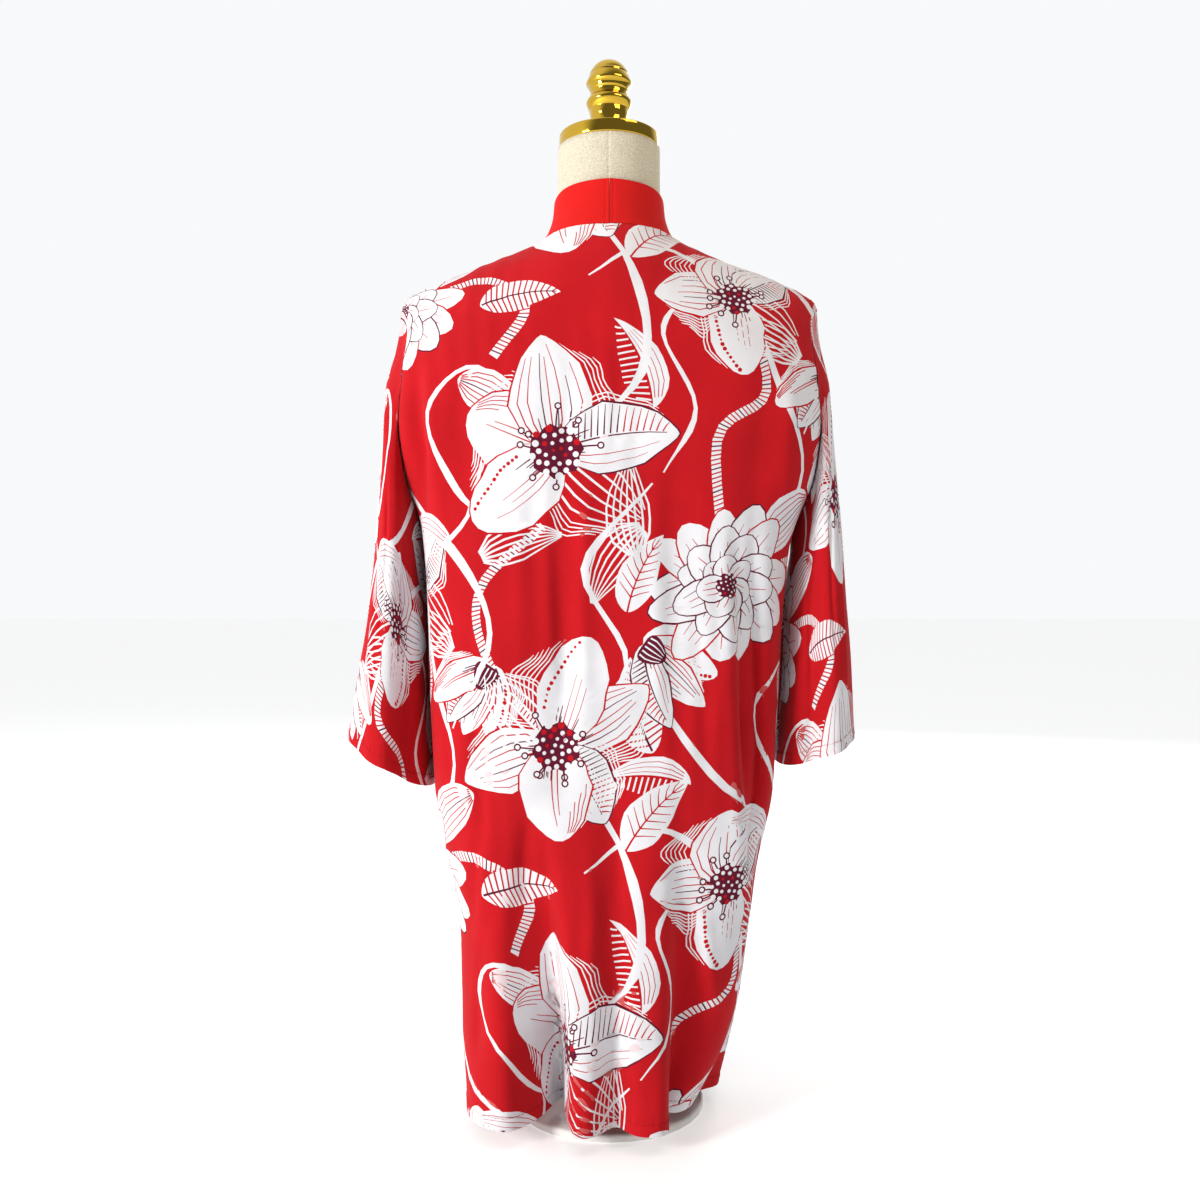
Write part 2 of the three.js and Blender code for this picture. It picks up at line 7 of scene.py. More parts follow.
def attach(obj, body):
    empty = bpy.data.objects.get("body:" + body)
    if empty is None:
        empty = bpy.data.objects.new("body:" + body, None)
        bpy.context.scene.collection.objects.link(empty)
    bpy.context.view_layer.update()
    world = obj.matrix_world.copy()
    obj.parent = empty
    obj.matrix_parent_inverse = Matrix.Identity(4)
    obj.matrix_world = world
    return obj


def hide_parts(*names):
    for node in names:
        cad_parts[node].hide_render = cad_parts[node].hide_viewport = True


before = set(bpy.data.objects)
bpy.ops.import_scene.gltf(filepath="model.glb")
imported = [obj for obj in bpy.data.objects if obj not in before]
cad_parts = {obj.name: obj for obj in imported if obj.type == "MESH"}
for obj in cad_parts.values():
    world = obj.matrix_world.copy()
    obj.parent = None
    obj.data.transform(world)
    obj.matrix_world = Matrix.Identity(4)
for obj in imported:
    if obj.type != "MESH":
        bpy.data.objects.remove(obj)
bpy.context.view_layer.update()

mm = 0.001  # the tables below are in millimetres, as the garment was measured

# The jacket's cut and the form it hangs on. z is up, the jacket's front faces -Y.
jacket = {
    "hemZ": 18.0, "neckZ": 876.0, "collarTopZ": 925.0,
    "cloth": 0.55,  # thickness of the printed cloth
    "seamGap": 0.3,
    "armholeTop": 806.0, "armholeLow": 584.0, "armholeHalfDepth": 60.0,
    "hemTurn": 11.5,  # depth of the turned hem, where its stitching runs
}
solidWall = 1.6  # wall of the plain solids, whose outer face the cloth follows


def table(columns, rows):
    names = columns.split()
    return {name: np.array([row[i] for row in rows], float) for i, name in enumerate(names)}


bodySections = table("z x half back front square", [
    (18, 15, 126, 125, 116, 3.4),
    (80, 10, 136, 124, 117, 3.2),
    (130, 6, 141, 123, 118, 3.1),
    (200, 4, 146, 122, 118, 3.1),
    (240, 4, 153, 121, 118, 3.1),
    (280, 5, 161, 120, 118, 3.2),
    (330, 5, 169, 117, 117, 3.3),
    (400, 5, 172, 113, 117, 3.4),
    (500, 4, 177, 110, 119, 3.4),
    (560, 3, 182, 110, 122, 3.4),
    (584, 2, 188, 110, 123, 3.4),
    (640, 0, 208, 110, 125, 3.2),
    (697, 0, 218, 109, 124, 3.0),
    (735, 0, 217, 107, 118, 2.7),
    (770, 0, 215, 104, 108, 2.2),
    (800, 0, 213.5, 100, 99, 1.75),
    (812, 0, 210, 97, 95, 1.6),
    (822, 0, 200, 94, 91, 1.5),
    (831, 0, 181, 91, 87, 1.5),
    (840, 0, 160, 88, 83, 1.5),
    (848, 0, 137, 84, 79, 1.5),
    (856, 0, 112, 80, 75, 1.6),
    (866, 0, 85, 73, 68, 1.8),
    (876, 0, 67, 66.5, 62, 2.0),
    (886, 0, 61.5, 63.5, 59.5, 2.0),
    (900, 0, 57.5, 60.5, 57, 2.0),
    (925, 0, 55.5, 57, 55.5, 2.0),
])

# The large folds. side 1 is the back. left and right are the widths towards +X and -X.
bodyFolds = table("side xTop xLow zTop zDeep zEnd depth left right", [
    (1, 66, 50, 340, 18, 0, 86, 24, 11),
    (1, 0, -5, 430, 18, 0, 24, 15, 15),
    (1, -66, -74, 360, 18, 0, 54, 13, 44),
    (1, 44, 44, 640, 460, 250, 8, 16, 13),
    (1, 186, 184, 760, 660, 560, 16, 11, 9),
    (1, -118, -141, 600, 400, 210, 21, 10, 12),
    (1, 112, 138, 390, 120, 0, 9, 9, 12),
    (1, -60, -66, 700, 520, 340, 6, 16, 18),
    (-1, 116, 115, 540, 18, 0, 32, 14, 12),
    (-1, 152, 140, 440, 220, 50, 12, 12, 12),
    (-1, -112, -84, 510, 18, 0, 34, 12, 14),
    (-1, -148, -118, 470, 230, 60, 12, 12, 12),
])
foldReach, foldGrowth = 30.0, 1.5

frontEdges = table("z x", [
    (18, 70), (400, 72), (700, 72), (770, 70.5), (815, 68.5), (850, 67), (876, 66.9),
])

bandEdge = table("along share rise", [
    (0, 0, 47), (0.5, 0, 45), (1, 0, 37), (1.2, 0.35, 30), (1.5, 0.66, 19), (1.8, 0.9, 8), (2, 1, 0),
])
band = {"width": 44.0, "flatZ": 740.0, "neckGrowth": 1.7, "thick": 1.5}

sleeveSections = {
    "left": table("z out inn deep", [
        (320, 268, 178, 77), (378, 262, 180, 76), (440, 252, 183, 74), (508, 241, 186, 70),
        (567, 234, 189.5, 66), (645, 229, 191, 63), (714, 225, 192, 62), (780, 218, 196, 60),
        (806, 213, 200, 60),
    ]),
    "right": table("z out inn deep", [
        (320, 248, 171, 80), (376, 246, 172.5, 79), (449, 243, 177, 76), (508, 238, 180, 71),
        (567, 233.5, 186, 66), (645, 227, 189, 63), (714, 222, 191, 62), (780, 217, 196, 60),
        (806, 213, 200, 60),
    ]),
}
cuffs = {"left": (378.0, 325.0), "right": (376.0, 347.0)}  # outer and inner heights
sleeveFolds = {
    "left": [(122, 17, 640, 15), (62, 20, 560, 7), (250, 22, 600, 11)],  # turn, wide, zTop, depth
    "right": [(112, 18, 620, 13), (50, 20, 520, 6), (240, 22, 580, 12)],
}
sleeve = {"turnDown": 75.0, "inset": 0.6, "square": 0.86, "foldOpening": 200.0}

formSections = table("z half back front square", [
    (213, 118, 66, 64, 2.2), (219, 134, 84, 80, 2.2), (235, 143, 93, 88, 2.2),
    (265, 149, 99, 93, 2.2), (310, 151, 101, 94, 2.3), (360, 143, 97, 92, 2.3),
    (420, 128, 88, 90, 2.2), (475, 118, 82, 88, 2.2), (530, 124, 86, 93, 2.2),
    (585, 138, 94, 107, 2.3), (640, 150, 100, 117, 2.4), (700, 164, 102, 115, 2.4),
    (745, 182, 101, 108, 2.3), (775, 197, 99, 101, 2.1),
])
form = {
    "shoulders": (806, 821, 834, 847, 861, 874),
    "neck": ((886, 56.5), (900, 52.6), (935, 52.0), (970.7, 52.0)),  # height, radius
    "restGap": 1.4, "rowStep": 6,
}


def clamp01(t):
    return np.clip(t, 0.0, 1.0)


def mix(a, b, t):
    return a + (b - a) * t


def smooth(t):
    t = clamp01(t)
    return t * t * (3 - 2 * t)


def unit(vectors):
    return vectors / np.maximum(np.linalg.norm(vectors, axis=-1, keepdims=True), 1e-9)


# How far along a line each of its points lies.
def runAlong(points):
    return np.concatenate(([0], np.cumsum(np.linalg.norm(np.diff(points, axis=0), axis=1))))


# A column of a table read between its rows, with no overshoot.
def read(rows, column, at, by="z"):
    x, y = rows[by], rows[column]
    rise = np.diff(y) / np.diff(x)
    slope = np.concatenate(([rise[0]], np.zeros(len(x) - 2), [rise[-1]]))
    before, after = rise[:-1], rise[1:]
    same = before * after > 0
    slope[1:-1] = np.where(same, 2 * before * after / np.where(same, before + after, 1), 0)
    at = np.clip(at, x[0], x[-1])
    i = np.clip(np.searchsorted(x, at, side="left") - 1, 0, len(x) - 2)
    step = x[i + 1] - x[i]
    t = (at - x[i]) / step
    ends = y[i] * (1 + 2 * t) * (1 - t) ** 2 + y[i + 1] * t * t * (3 - 2 * t)
    return ends + step * (slope[i] * t * (1 - t) ** 2 - slope[i + 1] * t * t * (1 - t))


def sectionOf(rows, z):
    x = read(rows, "x", z) if "x" in rows else 0.0 * z
    return x, *(read(rows, column, z) for column in ("half", "back", "front", "square"))


# How deep the large folds go in at a point of the body.
def dentOf(x, y, z):
    total = np.zeros(np.broadcast(x, y, z).shape)
    for k in range(len(bodyFolds["side"])):
        f = {name: bodyFolds[name][k] for name in bodyFolds}
        onSide = smooth(f["side"] * y / foldReach)
        opening = clamp01((f["zTop"] - z) / (f["zTop"] - f["zDeep"])) ** foldGrowth
        closing = smooth((z - f["zEnd"]) / (f["zDeep"] - f["zEnd"]))
        middle = mix(f["xTop"], f["xLow"], clamp01((f["zTop"] - z) / (f["zTop"] - f["zEnd"])))
        away = (x - middle) / np.where(x > middle, f["left"], f["right"])
        total = total + f["depth"] * opening * closing * onSide * np.exp(-away * away)
    return total


# Points on level sections. turn is 0 at the back and +90 degrees at +X.
def sectionPoints(rows, turn, z, folded=False):
    turn, z = np.broadcast_arrays(np.asarray(turn, float), np.asarray(z, float))
    cx, half, back, front, n = sectionOf(rows, z)
    sin, cos = np.sin(turn), np.cos(turn)
    depth = np.where(cos >= 0, back, front)
    r = ((np.abs(sin) / half) ** n + (np.abs(cos) / depth) ** n) ** (-1 / n)
    x, y = r * sin, r * cos
    nx = np.sign(sin) * (np.abs(x) / half) ** (n - 1) / half
    ny = np.sign(cos) * (np.abs(y) / depth) ** (n - 1) / depth
    size = np.hypot(nx, ny)
    dent = dentOf(x + cx, y, z) if folded else 0.0
    return np.stack([cx + x - nx / size * dent, y - ny / size * dent, z], -1)


def bodyNormals(turn, z, folded=True):
    low = np.maximum(z - 0.5, jacket["hemZ"])
    high = np.minimum(z + 0.5, jacket["collarTopZ"])
    across = sectionPoints(bodySections, turn + 0.002, z, folded)
    across = across - sectionPoints(bodySections, turn - 0.002, z, folded)
    up = sectionPoints(bodySections, turn, high, folded) - sectionPoints(bodySections, turn, low, folded)
    return unit(np.cross(up, across))


# How far a level section reaches along one axis, where it is a given way along the other.
def sectionReach(most, away, farthest, n):
    return most * clamp01(1 - clamp01(away / farthest) ** n) ** (1 / n)


def turnAtDepth(z, side, y):
    half, back, front, n = sectionOf(bodySections, z)[1:]
    depth = np.where(np.asarray(y) >= 0, back, front)
    return np.arctan2(side * sectionReach(half, np.abs(y), depth, n), y)


def turnAtFront(z, side, x):
    half, _, front, n = sectionOf(bodySections, z)[1:]
    return np.arctan2(side * x, -sectionReach(front, x, half, n))


armholeMiddle = (jacket["armholeTop"] + jacket["armholeLow"]) / 2
armholeHalf = (jacket["armholeTop"] - jacket["armholeLow"]) / 2


def sideEdge(z):
    share = (z - armholeMiddle) / armholeHalf
    deep = jacket["armholeHalfDepth"] * np.sqrt(np.maximum(0, 1 - share * share))
    return np.maximum(jacket["seamGap"] / 2, deep)


# A sheet of cloth as a grid of places. u runs across it and v up it, both measured on the flat cloth.
class Chart:
    def __init__(self, u0, uStep, vLow, vStep, lowRows, upperRows, upperLength, places, flip):
        self.u0, self.uStep, self.vLow, self.vStep = u0, uStep, vLow, vStep
        self.lowRows, self.upperRows, self.upperLength = lowRows, upperRows, upperLength
        self.places, self.flip = places, flip
        self.measure()

    def acrossSteps(self):
        return np.gradient(self.places, axis=1)

    # The cloth's own directions at each place: out of it, across it and up it.
    def measure(self):
        across, up = self.acrossSteps(), np.gradient(self.places, axis=0)
        self.normals = unit(np.cross(across, up) * (-1 if self.flip else 1))
        self.across, self.up = unit(across), unit(up)

    # Where flat places lie in the grid, in steps, always before its last row and column.
    def cells(self, u, v):
        i = np.clip((u - self.u0) / self.uStep, 0, self.places.shape[1] - 1.001)
        vTurn = self.vLow + self.vStep * (self.lowRows - 1)
        j = (v - self.vLow) / self.vStep
        if self.upperRows:
            k = np.floor(i).astype(int)
            length = mix(self.upperLength[k], self.upperLength[k + 1], i - k)
            j = np.where(v > vTurn, self.lowRows - 1 + (v - vTurn) / length * self.upperRows, j)
        return i, np.clip(j, 0, self.places.shape[0] - 1.001)

    # Values of a grid at flat places, read between its points.
    def at(self, grid, u, v):
        i, j = self.cells(u, v)
        a, b = np.floor(i).astype(int), np.floor(j).astype(int)
        s, t = (i - a)[:, None], (j - b)[:, None]
        low = mix(grid[b, a], grid[b, a + 1], s)
        return mix(low, mix(grid[b + 1, a], grid[b + 1, a + 1], s), t)


crease = {"leastWide": 6.0, "fade": 0.3}  # the panels' points lie 5 mm apart; fade is a share of its length


# Creases listed on a face seen level: each runs through its points and fades at both ends.
# height is above the cloth where positive. wide is across, in the same units as the points.
def creaseField(a, b, creases):
    total = np.zeros(a.shape)
    for points, wide, height in creases:
        wide = max(wide, crease["leastWide"])
        points = np.asarray(points, float)
        lengths = runAlong(points)
        low, high = points.min(0) - 3 * wide, points.max(0) + 3 * wide
        near = (a > low[0]) & (a < high[0]) & (b > low[1]) & (b < high[1])
        x, y = a[near], b[near]
        best, along = np.full(x.shape, 1e9), np.zeros(x.shape)
        for k in range(len(points) - 1):
            (px, py), d = points[k], points[k + 1] - points[k]
            t = clamp01(((x - px) * d[0] + (y - py) * d[1]) / (d @ d))
            away = np.hypot(x - px - t * d[0], y - py - t * d[1])
            closer = away < best
            best = np.where(closer, away, best)
            along = np.where(closer, lengths[k] + t * (lengths[k + 1] - lengths[k]), along)
        end = crease["fade"] * lengths[-1]
        fade = smooth(along / end) * smooth((lengths[-1] - along) / end)
        total[near] += height * fade * np.exp(-(best / wide) ** 2)
    return total


# Adds the creases, slow waves as of cloth that hangs free, and small wrinkles in patches.
# across is where each place lies from side to side, its x where it isn't given.
def creaseChart(chart, creases, across=None, sway=0.6):
    a, b = chart.places[..., 0] if across is None else across, chart.places[..., 2]
    lift = creaseField(a, b, creases)
    lift += sway * np.sin(a / 23 + 1.3 * np.sin(b / 61)) * np.sin(b / 47 + 0.8 * np.sin(a / 37))
    lift += 0.5 * sway * np.sin(a / 11 + b / 90 + 2 * np.sin(b / 130))
    small = smooth(0.5 + 0.9 * np.sin(a / 41 + 1.1) * np.sin(b / 83 + a / 120))
    lift += 0.6 * sway * small * np.sin(a / 3.4 + 1.6 * np.sin(b / 34) + b / 60)
    chart.places = chart.places + chart.normals * lift[..., None]
    chart.measure()


bodyChart = {
    "uReach": 345.0, "uStep": 1.5, "turnZ": 760.0, "lowRows": 249, "upperRows": 54,
    "aimReach": 112, "aims": 1301,  # degrees each way from the middle, and rays on a level row
    "widest": 213.3, "neckReach": 67,  # half widths of the shoulders and the neck
}


# Half of the jacket's body, back or front: level rows up to the chest, and threads that go straight up
# and over the shoulder above it.
def makeBodyChart(facing):
    spec = bodyChart
    u = np.arange(-spec["uReach"], spec["uReach"] + 0.1, spec["uStep"])
    z = np.linspace(jacket["hemZ"], spec["turnZ"], spec["lowRows"])
    aim = np.radians(np.linspace(-spec["aimReach"], spec["aimReach"], spec["aims"]))
    turn = aim if facing > 0 else math.pi - aim
    rows, arcs = [], []
    for level in z:
        ring = sectionPoints(bodySections, turn, level, True)
        lengths = runAlong(ring)
        lengths -= np.interp(0, aim, lengths)
        arcs.append(lengths)
        rows.append(np.stack([np.interp(u, lengths, ring[:, k]) for k in range(3)], -1))
    x = np.clip(rows[-1][:, 0], -spec["widest"], spec["widest"])
    shoulderZ = np.linspace(spec["turnZ"], jacket["neckZ"], 400)
    shoulderHalf = read(bodySections, "half", shoulderZ)
    topZ = np.interp(-np.abs(x), -shoulderHalf, shoulderZ)
    topZ = np.where(np.abs(x) <= spec["neckReach"], jacket["neckZ"], topZ)
    rise = np.linspace(0, 1, 141)[:, None]
    threadZ = topZ - (topZ - spec["turnZ"]) * (1 - rise) ** 2
    half, back, front, n = sectionOf(bodySections, threadZ)[1:]
    depth = back if facing > 0 else front
    threadY = facing * sectionReach(depth, np.abs(x), half, n)
    steps = np.hypot(np.diff(threadZ, axis=0), np.diff(threadY, axis=0))
    run = np.concatenate([np.zeros((1, len(u))), np.cumsum(steps, axis=0)])
    share = np.linspace(0, 1, spec["upperRows"] + 1)[1:]
    upper = np.zeros((spec["upperRows"], len(u), 3))
    for k in range(len(u)):
        wanted = share * run[-1, k]
        upper[:, k, 0] = x[k]
        upper[:, k, 1] = np.interp(wanted, run[:, k], threadY[:, k])
        upper[:, k, 2] = np.interp(wanted, run[:, k], threadZ[:, k])
    places = np.concatenate([np.array(rows), upper])
    chart = Chart(u[0], spec["uStep"], jacket["hemZ"], z[1] - z[0], len(z), spec["upperRows"],
                  run[-1], places, facing > 0)
    rising = (np.abs(x) < spec["widest"] - 0.01) & (facing * rows[-1][:, 1] > 0)
    chart.aim, chart.arcs, chart.xTop, chart.uTop = aim, arcs, x[rising], u[rising]
    chart.lengthTop = run[-1][rising]
    return chart


# Flat places, (u, v), of a line on the body given by its heights and turns, or above the chest its x.
def flatLine(chart, facing, heights, turnAt, xAt):
    found = []
    vTurn = bodyChart["turnZ"]
    for z in heights:
        if z <= vTurn:
            turn = float(turnAt(z))
            aim = turn if facing > 0 else (math.pi - turn + math.pi) % (2 * math.pi) - math.pi
            j = np.clip((z - jacket["hemZ"]) / chart.vStep, 0, chart.lowRows - 1.001)
            k = int(j)
            low, high = (np.interp(aim, chart.aim, chart.arcs[row]) for row in (k, k + 1))
            found.append((float(mix(low, high, j - k)), float(z)))
        else:
            u = float(np.interp(float(xAt(z)), chart.xTop, chart.uTop))
            i = (u - chart.u0) / chart.uStep
            k = int(i)
            column = mix(*chart.places[chart.lowRows - 1:, k:k + 2, 2].T, i - k)
            share = np.interp(z, column, np.linspace(0, 1, chart.upperRows + 1))
            length = mix(chart.upperLength[k], chart.upperLength[k + 1], i - k)
            found.append((u, float(vTurn + share * length)))
    return found


# The same for the shoulder's top.
def ridgeLine(chart, xs):
    u = np.interp(xs, chart.xTop, chart.uTop)
    return [(float(a), float(bodyChart["turnZ"] + np.interp(a, chart.uTop, chart.lengthTop))) for a in u]


def armholeX(side, z):
    half, back, _, n = sectionOf(bodySections, z)[1:]
    return side * sectionReach(half, sideEdge(z), back, n)


# Points on a panel's outline are a step apart, and the shoulder runs from outer to inner, in x.
outlines = {"step": 4.0, "outer": 211.5, "inner": 68.5}


def inSteps(low, high):
    return np.arange(low + outlines["step"], high - outlines["step"] / 2, outlines["step"])


def sideLine(chart, facing, side):
    low = list(np.arange(jacket["hemZ"], jacket["armholeLow"], outlines["step"]))
    hole = list(armholeMiddle + armholeHalf * np.cos(np.linspace(math.pi, 0, 64)))
    return flatLine(chart, facing, low + hole, lambda z: turnAtDepth(z, side, facing * sideEdge(z)),
                    lambda z: armholeX(side, z))


def hemBetween(low, high):
    return [(u, jacket["hemZ"]) for u in inSteps(low, high)]


def backOutline(chart):
    right = sideLine(chart, 1, 1)
    left = sideLine(chart, 1, -1)
    top = ridgeLine(chart, np.linspace(outlines["outer"], -outlines["outer"], 110))
    return hemBetween(left[0][0], right[0][0]) + right + top + left[::-1]


def frontOutline(chart, side):
    def edgeX(z):
        return side * (read(frontEdges, "x", z) + jacket["seamGap"] / 2)

    outer = sideLine(chart, -1, side)
    heights = list(np.arange(jacket["hemZ"], jacket["neckZ"] - 4, outlines["step"])) + [jacket["neckZ"] - 2]
    inner = flatLine(chart, -1, heights, lambda z: turnAtFront(z, side, abs(edgeX(z))), edgeX)
    hem = hemBetween(*sorted((inner[0][0], outer[0][0])))
    top = ridgeLine(chart, side * np.linspace(outlines["outer"], outlines["inner"], 44))
    if side > 0:
        return hem + outer + top + inner[::-1]
    return hem + inner + top[::-1] + outer[::-1]


# Points of a sleeve: angle is 0 on its outside, down goes from the armhole, 0, to the cuff, 1.
def sleevePoints(name, side, angle, down):
    angle, down = np.broadcast_arrays(np.asarray(angle, float), np.asarray(down, float))
    cos, sin = np.cos(angle), np.sin(angle)
    rimZ = armholeMiddle + (armholeHalf - sleeve["inset"]) * cos
    rimY = (jacket["armholeHalfDepth"] - sleeve["inset"]) * sin
    turn = turnAtDepth(rimZ, side, rimY)
    rim = sectionPoints(bodySections, turn, rimZ, True) + sleeve["inset"] * bodyNormals(turn, rimZ)
    outerZ, innerZ = cuffs[name]
    z = mix(rimZ, mix(innerZ, outerZ, (1 + cos) / 2), down)
    rows = sleeveSections[name]
    out, inn, deep = read(rows, "out", z), read(rows, "inn", z), read(rows, "deep", z)
    dent = 0.0
    for foldTurn, wide, zTop, depth in sleeveFolds[name]:
        away = ((np.degrees(angle) - foldTurn + 540) % 360 - 180) / wide
        dent = dent + depth * smooth((zTop - z) / sleeve["foldOpening"]) * np.exp(-away * away)
    squareCos, squareSin = (np.sign(s) * np.abs(s) ** sleeve["square"] for s in (cos, sin))
    x = (out + inn) / 2 + ((out - inn) / 2 - dent * np.abs(cos)) * squareCos
    y = (deep - dent * np.abs(sin)) * squareSin
    turned = smooth((rimZ - z) / sleeve["turnDown"])
    return np.stack([mix(rim[..., 0], side * x, turned), mix(rim[..., 1], y, turned), z], -1)


sleeveChart = {"around": 460.0, "columns": 320, "rows": 240}


# A sleeve's cloth, open along its underarm seam. v is 0 at the cuff.
class SleeveChart(Chart):
    def __init__(self, name, side):
        spec = sleeveChart
        angle = np.linspace(-math.pi, math.pi, spec["columns"] + 1)
        down = np.linspace(1, 0, spec["rows"])[:, None]
        places = sleevePoints(name, side, angle, down)
        self.length = np.linalg.norm(np.diff(places, axis=0), axis=-1).sum(axis=0)
        around, columns, rows = spec["around"], spec["columns"], spec["rows"]
        super().__init__(-around / 2, around / columns, 0.0, 1.0, rows, 0, None, places, side < 0)

    def acrossSteps(self):
        padded = np.concatenate([self.places[:, -2:-1], self.places, self.places[:, 1:2]], axis=1)
        return (padded[:, 2:] - padded[:, :-2]) / 2

    def cells(self, u, v):
        i = np.clip((u - self.u0) / self.uStep, 0, self.places.shape[1] - 1.001)
        k = np.floor(i).astype(int)
        length = mix(self.length[k], self.length[k + 1], i - k)
        return i, np.clip(v / length, 0, 1) * (self.lowRows - 1.001)


def sleeveOutline(chart):
    u = np.linspace(chart.u0, -chart.u0, 116)
    top = np.interp(u, chart.u0 + chart.uStep * np.arange(len(chart.length)), chart.length)
    hem = [(float(a), 0.0) for a in u]
    right = [(-chart.u0, float(v)) for v in inSteps(0, top[-1])]
    left = [(chart.u0, float(v)) for v in inSteps(0, top[0])]
    return hem + right + [(float(a), float(b)) for a, b in zip(u[::-1], top[::-1])] + left[::-1]


# Which points lie inside an outline, by how often it winds round each.
def windingInside(points, outline):
    points, a = np.asarray(points), np.asarray(outline)
    b = np.roll(a, -1, axis=0)
    order = np.argsort(points[:, 1])
    x, y = points[order, 0], points[order, 1]
    winding = np.zeros(len(points), int)
    for (ax, ay), (bx, by) in zip(a, b):
        low, high = np.searchsorted(y, (min(ay, by), max(ay, by)))
        near = slice(low, high)
        left = (bx - ax) * (y[near] - ay) - (x[near] - ax) * (by - ay)
        winding[near] += (left > 0) if by > ay else -(left < 0).astype(int)
    inside = np.zeros(len(points), bool)
    inside[order] = winding != 0
    return inside


# For points within reach of an outline: how far it is, which way it lies, and how far along it.
def toOutline(points, outline, reach):
    a = np.asarray(outline, float)
    away, along = np.full(len(points), 1e9), np.zeros(len(points))
    toward = np.zeros((len(points), 2))
    order = np.argsort(points[:, 1])
    y = points[order, 1]
    run = 0.0
    for p, q in zip(a, np.roll(a, -1, axis=0)):
        low, high = np.searchsorted(y, (min(p[1], q[1]) - reach, max(p[1], q[1]) + reach))
        near = order[low:high]
        near = near[np.abs(points[near, 0] - (p[0] + q[0]) / 2) < reach + abs(p[0] - q[0]) / 2]
        d = q - p
        length = math.hypot(*d)
        t = clamp01(((points[near] - p) @ d) / max(d @ d, 1e-12))
        off = p + t[:, None] * d - points[near]
        size = np.hypot(off[:, 0], off[:, 1])
        closer = size < away[near]
        near, off, size, t = near[closer], off[closer], size[closer], t[closer]
        away[near], along[near] = size, run + t * length
        toward[near] = off / np.maximum(size, 1e-9)[:, None]
        run += length
    return away, toward, along


sewing = {  # how the cloth sinks into its seams and hems, in millimetres
    "reach": 22.0, "sink": 0.5, "sinkWide": 1.5, "pucker": 0.16, "puckerEvery": 8.5, "puckerReach": 7.0,
    "hemGroove": 0.3, "hemGrooveWide": 0.8, "hemPucker": 0.16, "hemPuckerEvery": 7.0,
    "hemSwell": 0.55, "hemSwellWide": 2.2,
}
stitch = {"long": 2.6, "every": 3.6, "thick": 0.42, "sides": 6, "lift": 0.12}
stitchRings = ((-0.5, 0.25), (-0.3, 1.0), (0.3, 1.0), (0.5, 0.25))  # share of its length, of its thickness
meshStep = {  # points of the cloth's mesh, closer across it, as its folds run down
    "across": 4.8, "up": 9.6, "rim": 1.4, "byHem": (-1.6, -0.8, 0.0, 0.8, 1.6), "alongHem": 3.2,
}
soakThrough = 500.0  # the least area of a printed shape that shows on the wrong side


# Triangles of one face of a panel, with the dye of each.
def cutFace(outline, rim, guides, art):
    low, high = outline.min(0), outline.max(0)
    step = meshStep["across"]
    grid = []
    for j, v in enumerate(np.arange(low[1], high[1], meshStep["up"])):
        u = np.arange(low[0] + (step / 2 if j % 2 else 0), high[0], step)
        grid.append(np.stack([u, np.full(len(u), v)], -1))
    grid = np.concatenate(grid)
    grid = grid[windingInside(grid, outline)]
    grid = grid[toOutline(grid, outline, step)[0] > step * 0.7]
    points = [outline, rim, *guides, grid]
    edges = [(i, (i + 1) % len(outline)) for i in range(len(outline))]
    start = sum(len(p) for p in points)
    for dye, shape in art:
        points.append(np.asarray(shape))
        count = len(shape)
        edges += [(start + i, start + (i + 1) % count) for i in range(count)]
        start += count
    points = np.concatenate(points)
    made = geometry.delaunay_2d_cdt([Vector(p) for p in points], edges, [], 0, 1e-4, False)
    flat = np.array([tuple(p) for p in made[0]])
    faces = np.array(made[2])
    middle = flat[faces].mean(1)
    keep = windingInside(middle, outline)
    faces, middle = faces[keep], middle[keep]
    dyes = np.zeros(len(faces), int)
    order = np.argsort(middle[:, 1])
    sortedV = middle[order, 1]
    for dye, shape in art:
        shape = np.asarray(shape)
        (u0, v0), (u1, v1) = shape.min(0), shape.max(0)
        near = order[np.searchsorted(sortedV, v0):np.searchsorted(sortedV, v1)]
        near = near[(middle[near, 0] >= u0) & (middle[near, 0] <= u1)]
        dyes[near[windingInside(middle[near], shape)]] = dye
    used, faces = np.unique(faces, return_inverse=True)
    return flat[used], faces.reshape(-1, 3), dyes


# The open edges of a face, each with the triangle that it belongs to.
def rimEdges(faces):
    directed = np.concatenate([faces[:, [0, 1]], faces[:, [1, 2]], faces[:, [2, 0]]])
    keys = np.sort(directed, axis=1)
    keys = keys[:, 0] * (faces.max() + 1) + keys[:, 1]
    _, index, times = np.unique(keys, return_index=True, return_counts=True)
    index = index[times == 1]
    return directed[index], index % len(faces)


# Points on a level line of the flat cloth, clear of the panel's outline.
def levelLine(outline, v, step, clear):
    u = np.arange(outline[:, 0].min(), outline[:, 0].max(), step)
    line = np.stack([u, np.full(len(u), v)], -1)
    line = line[windingInside(line, outline)]
    return line[toOutline(line, outline, clear + 1.0)[0] > clear]


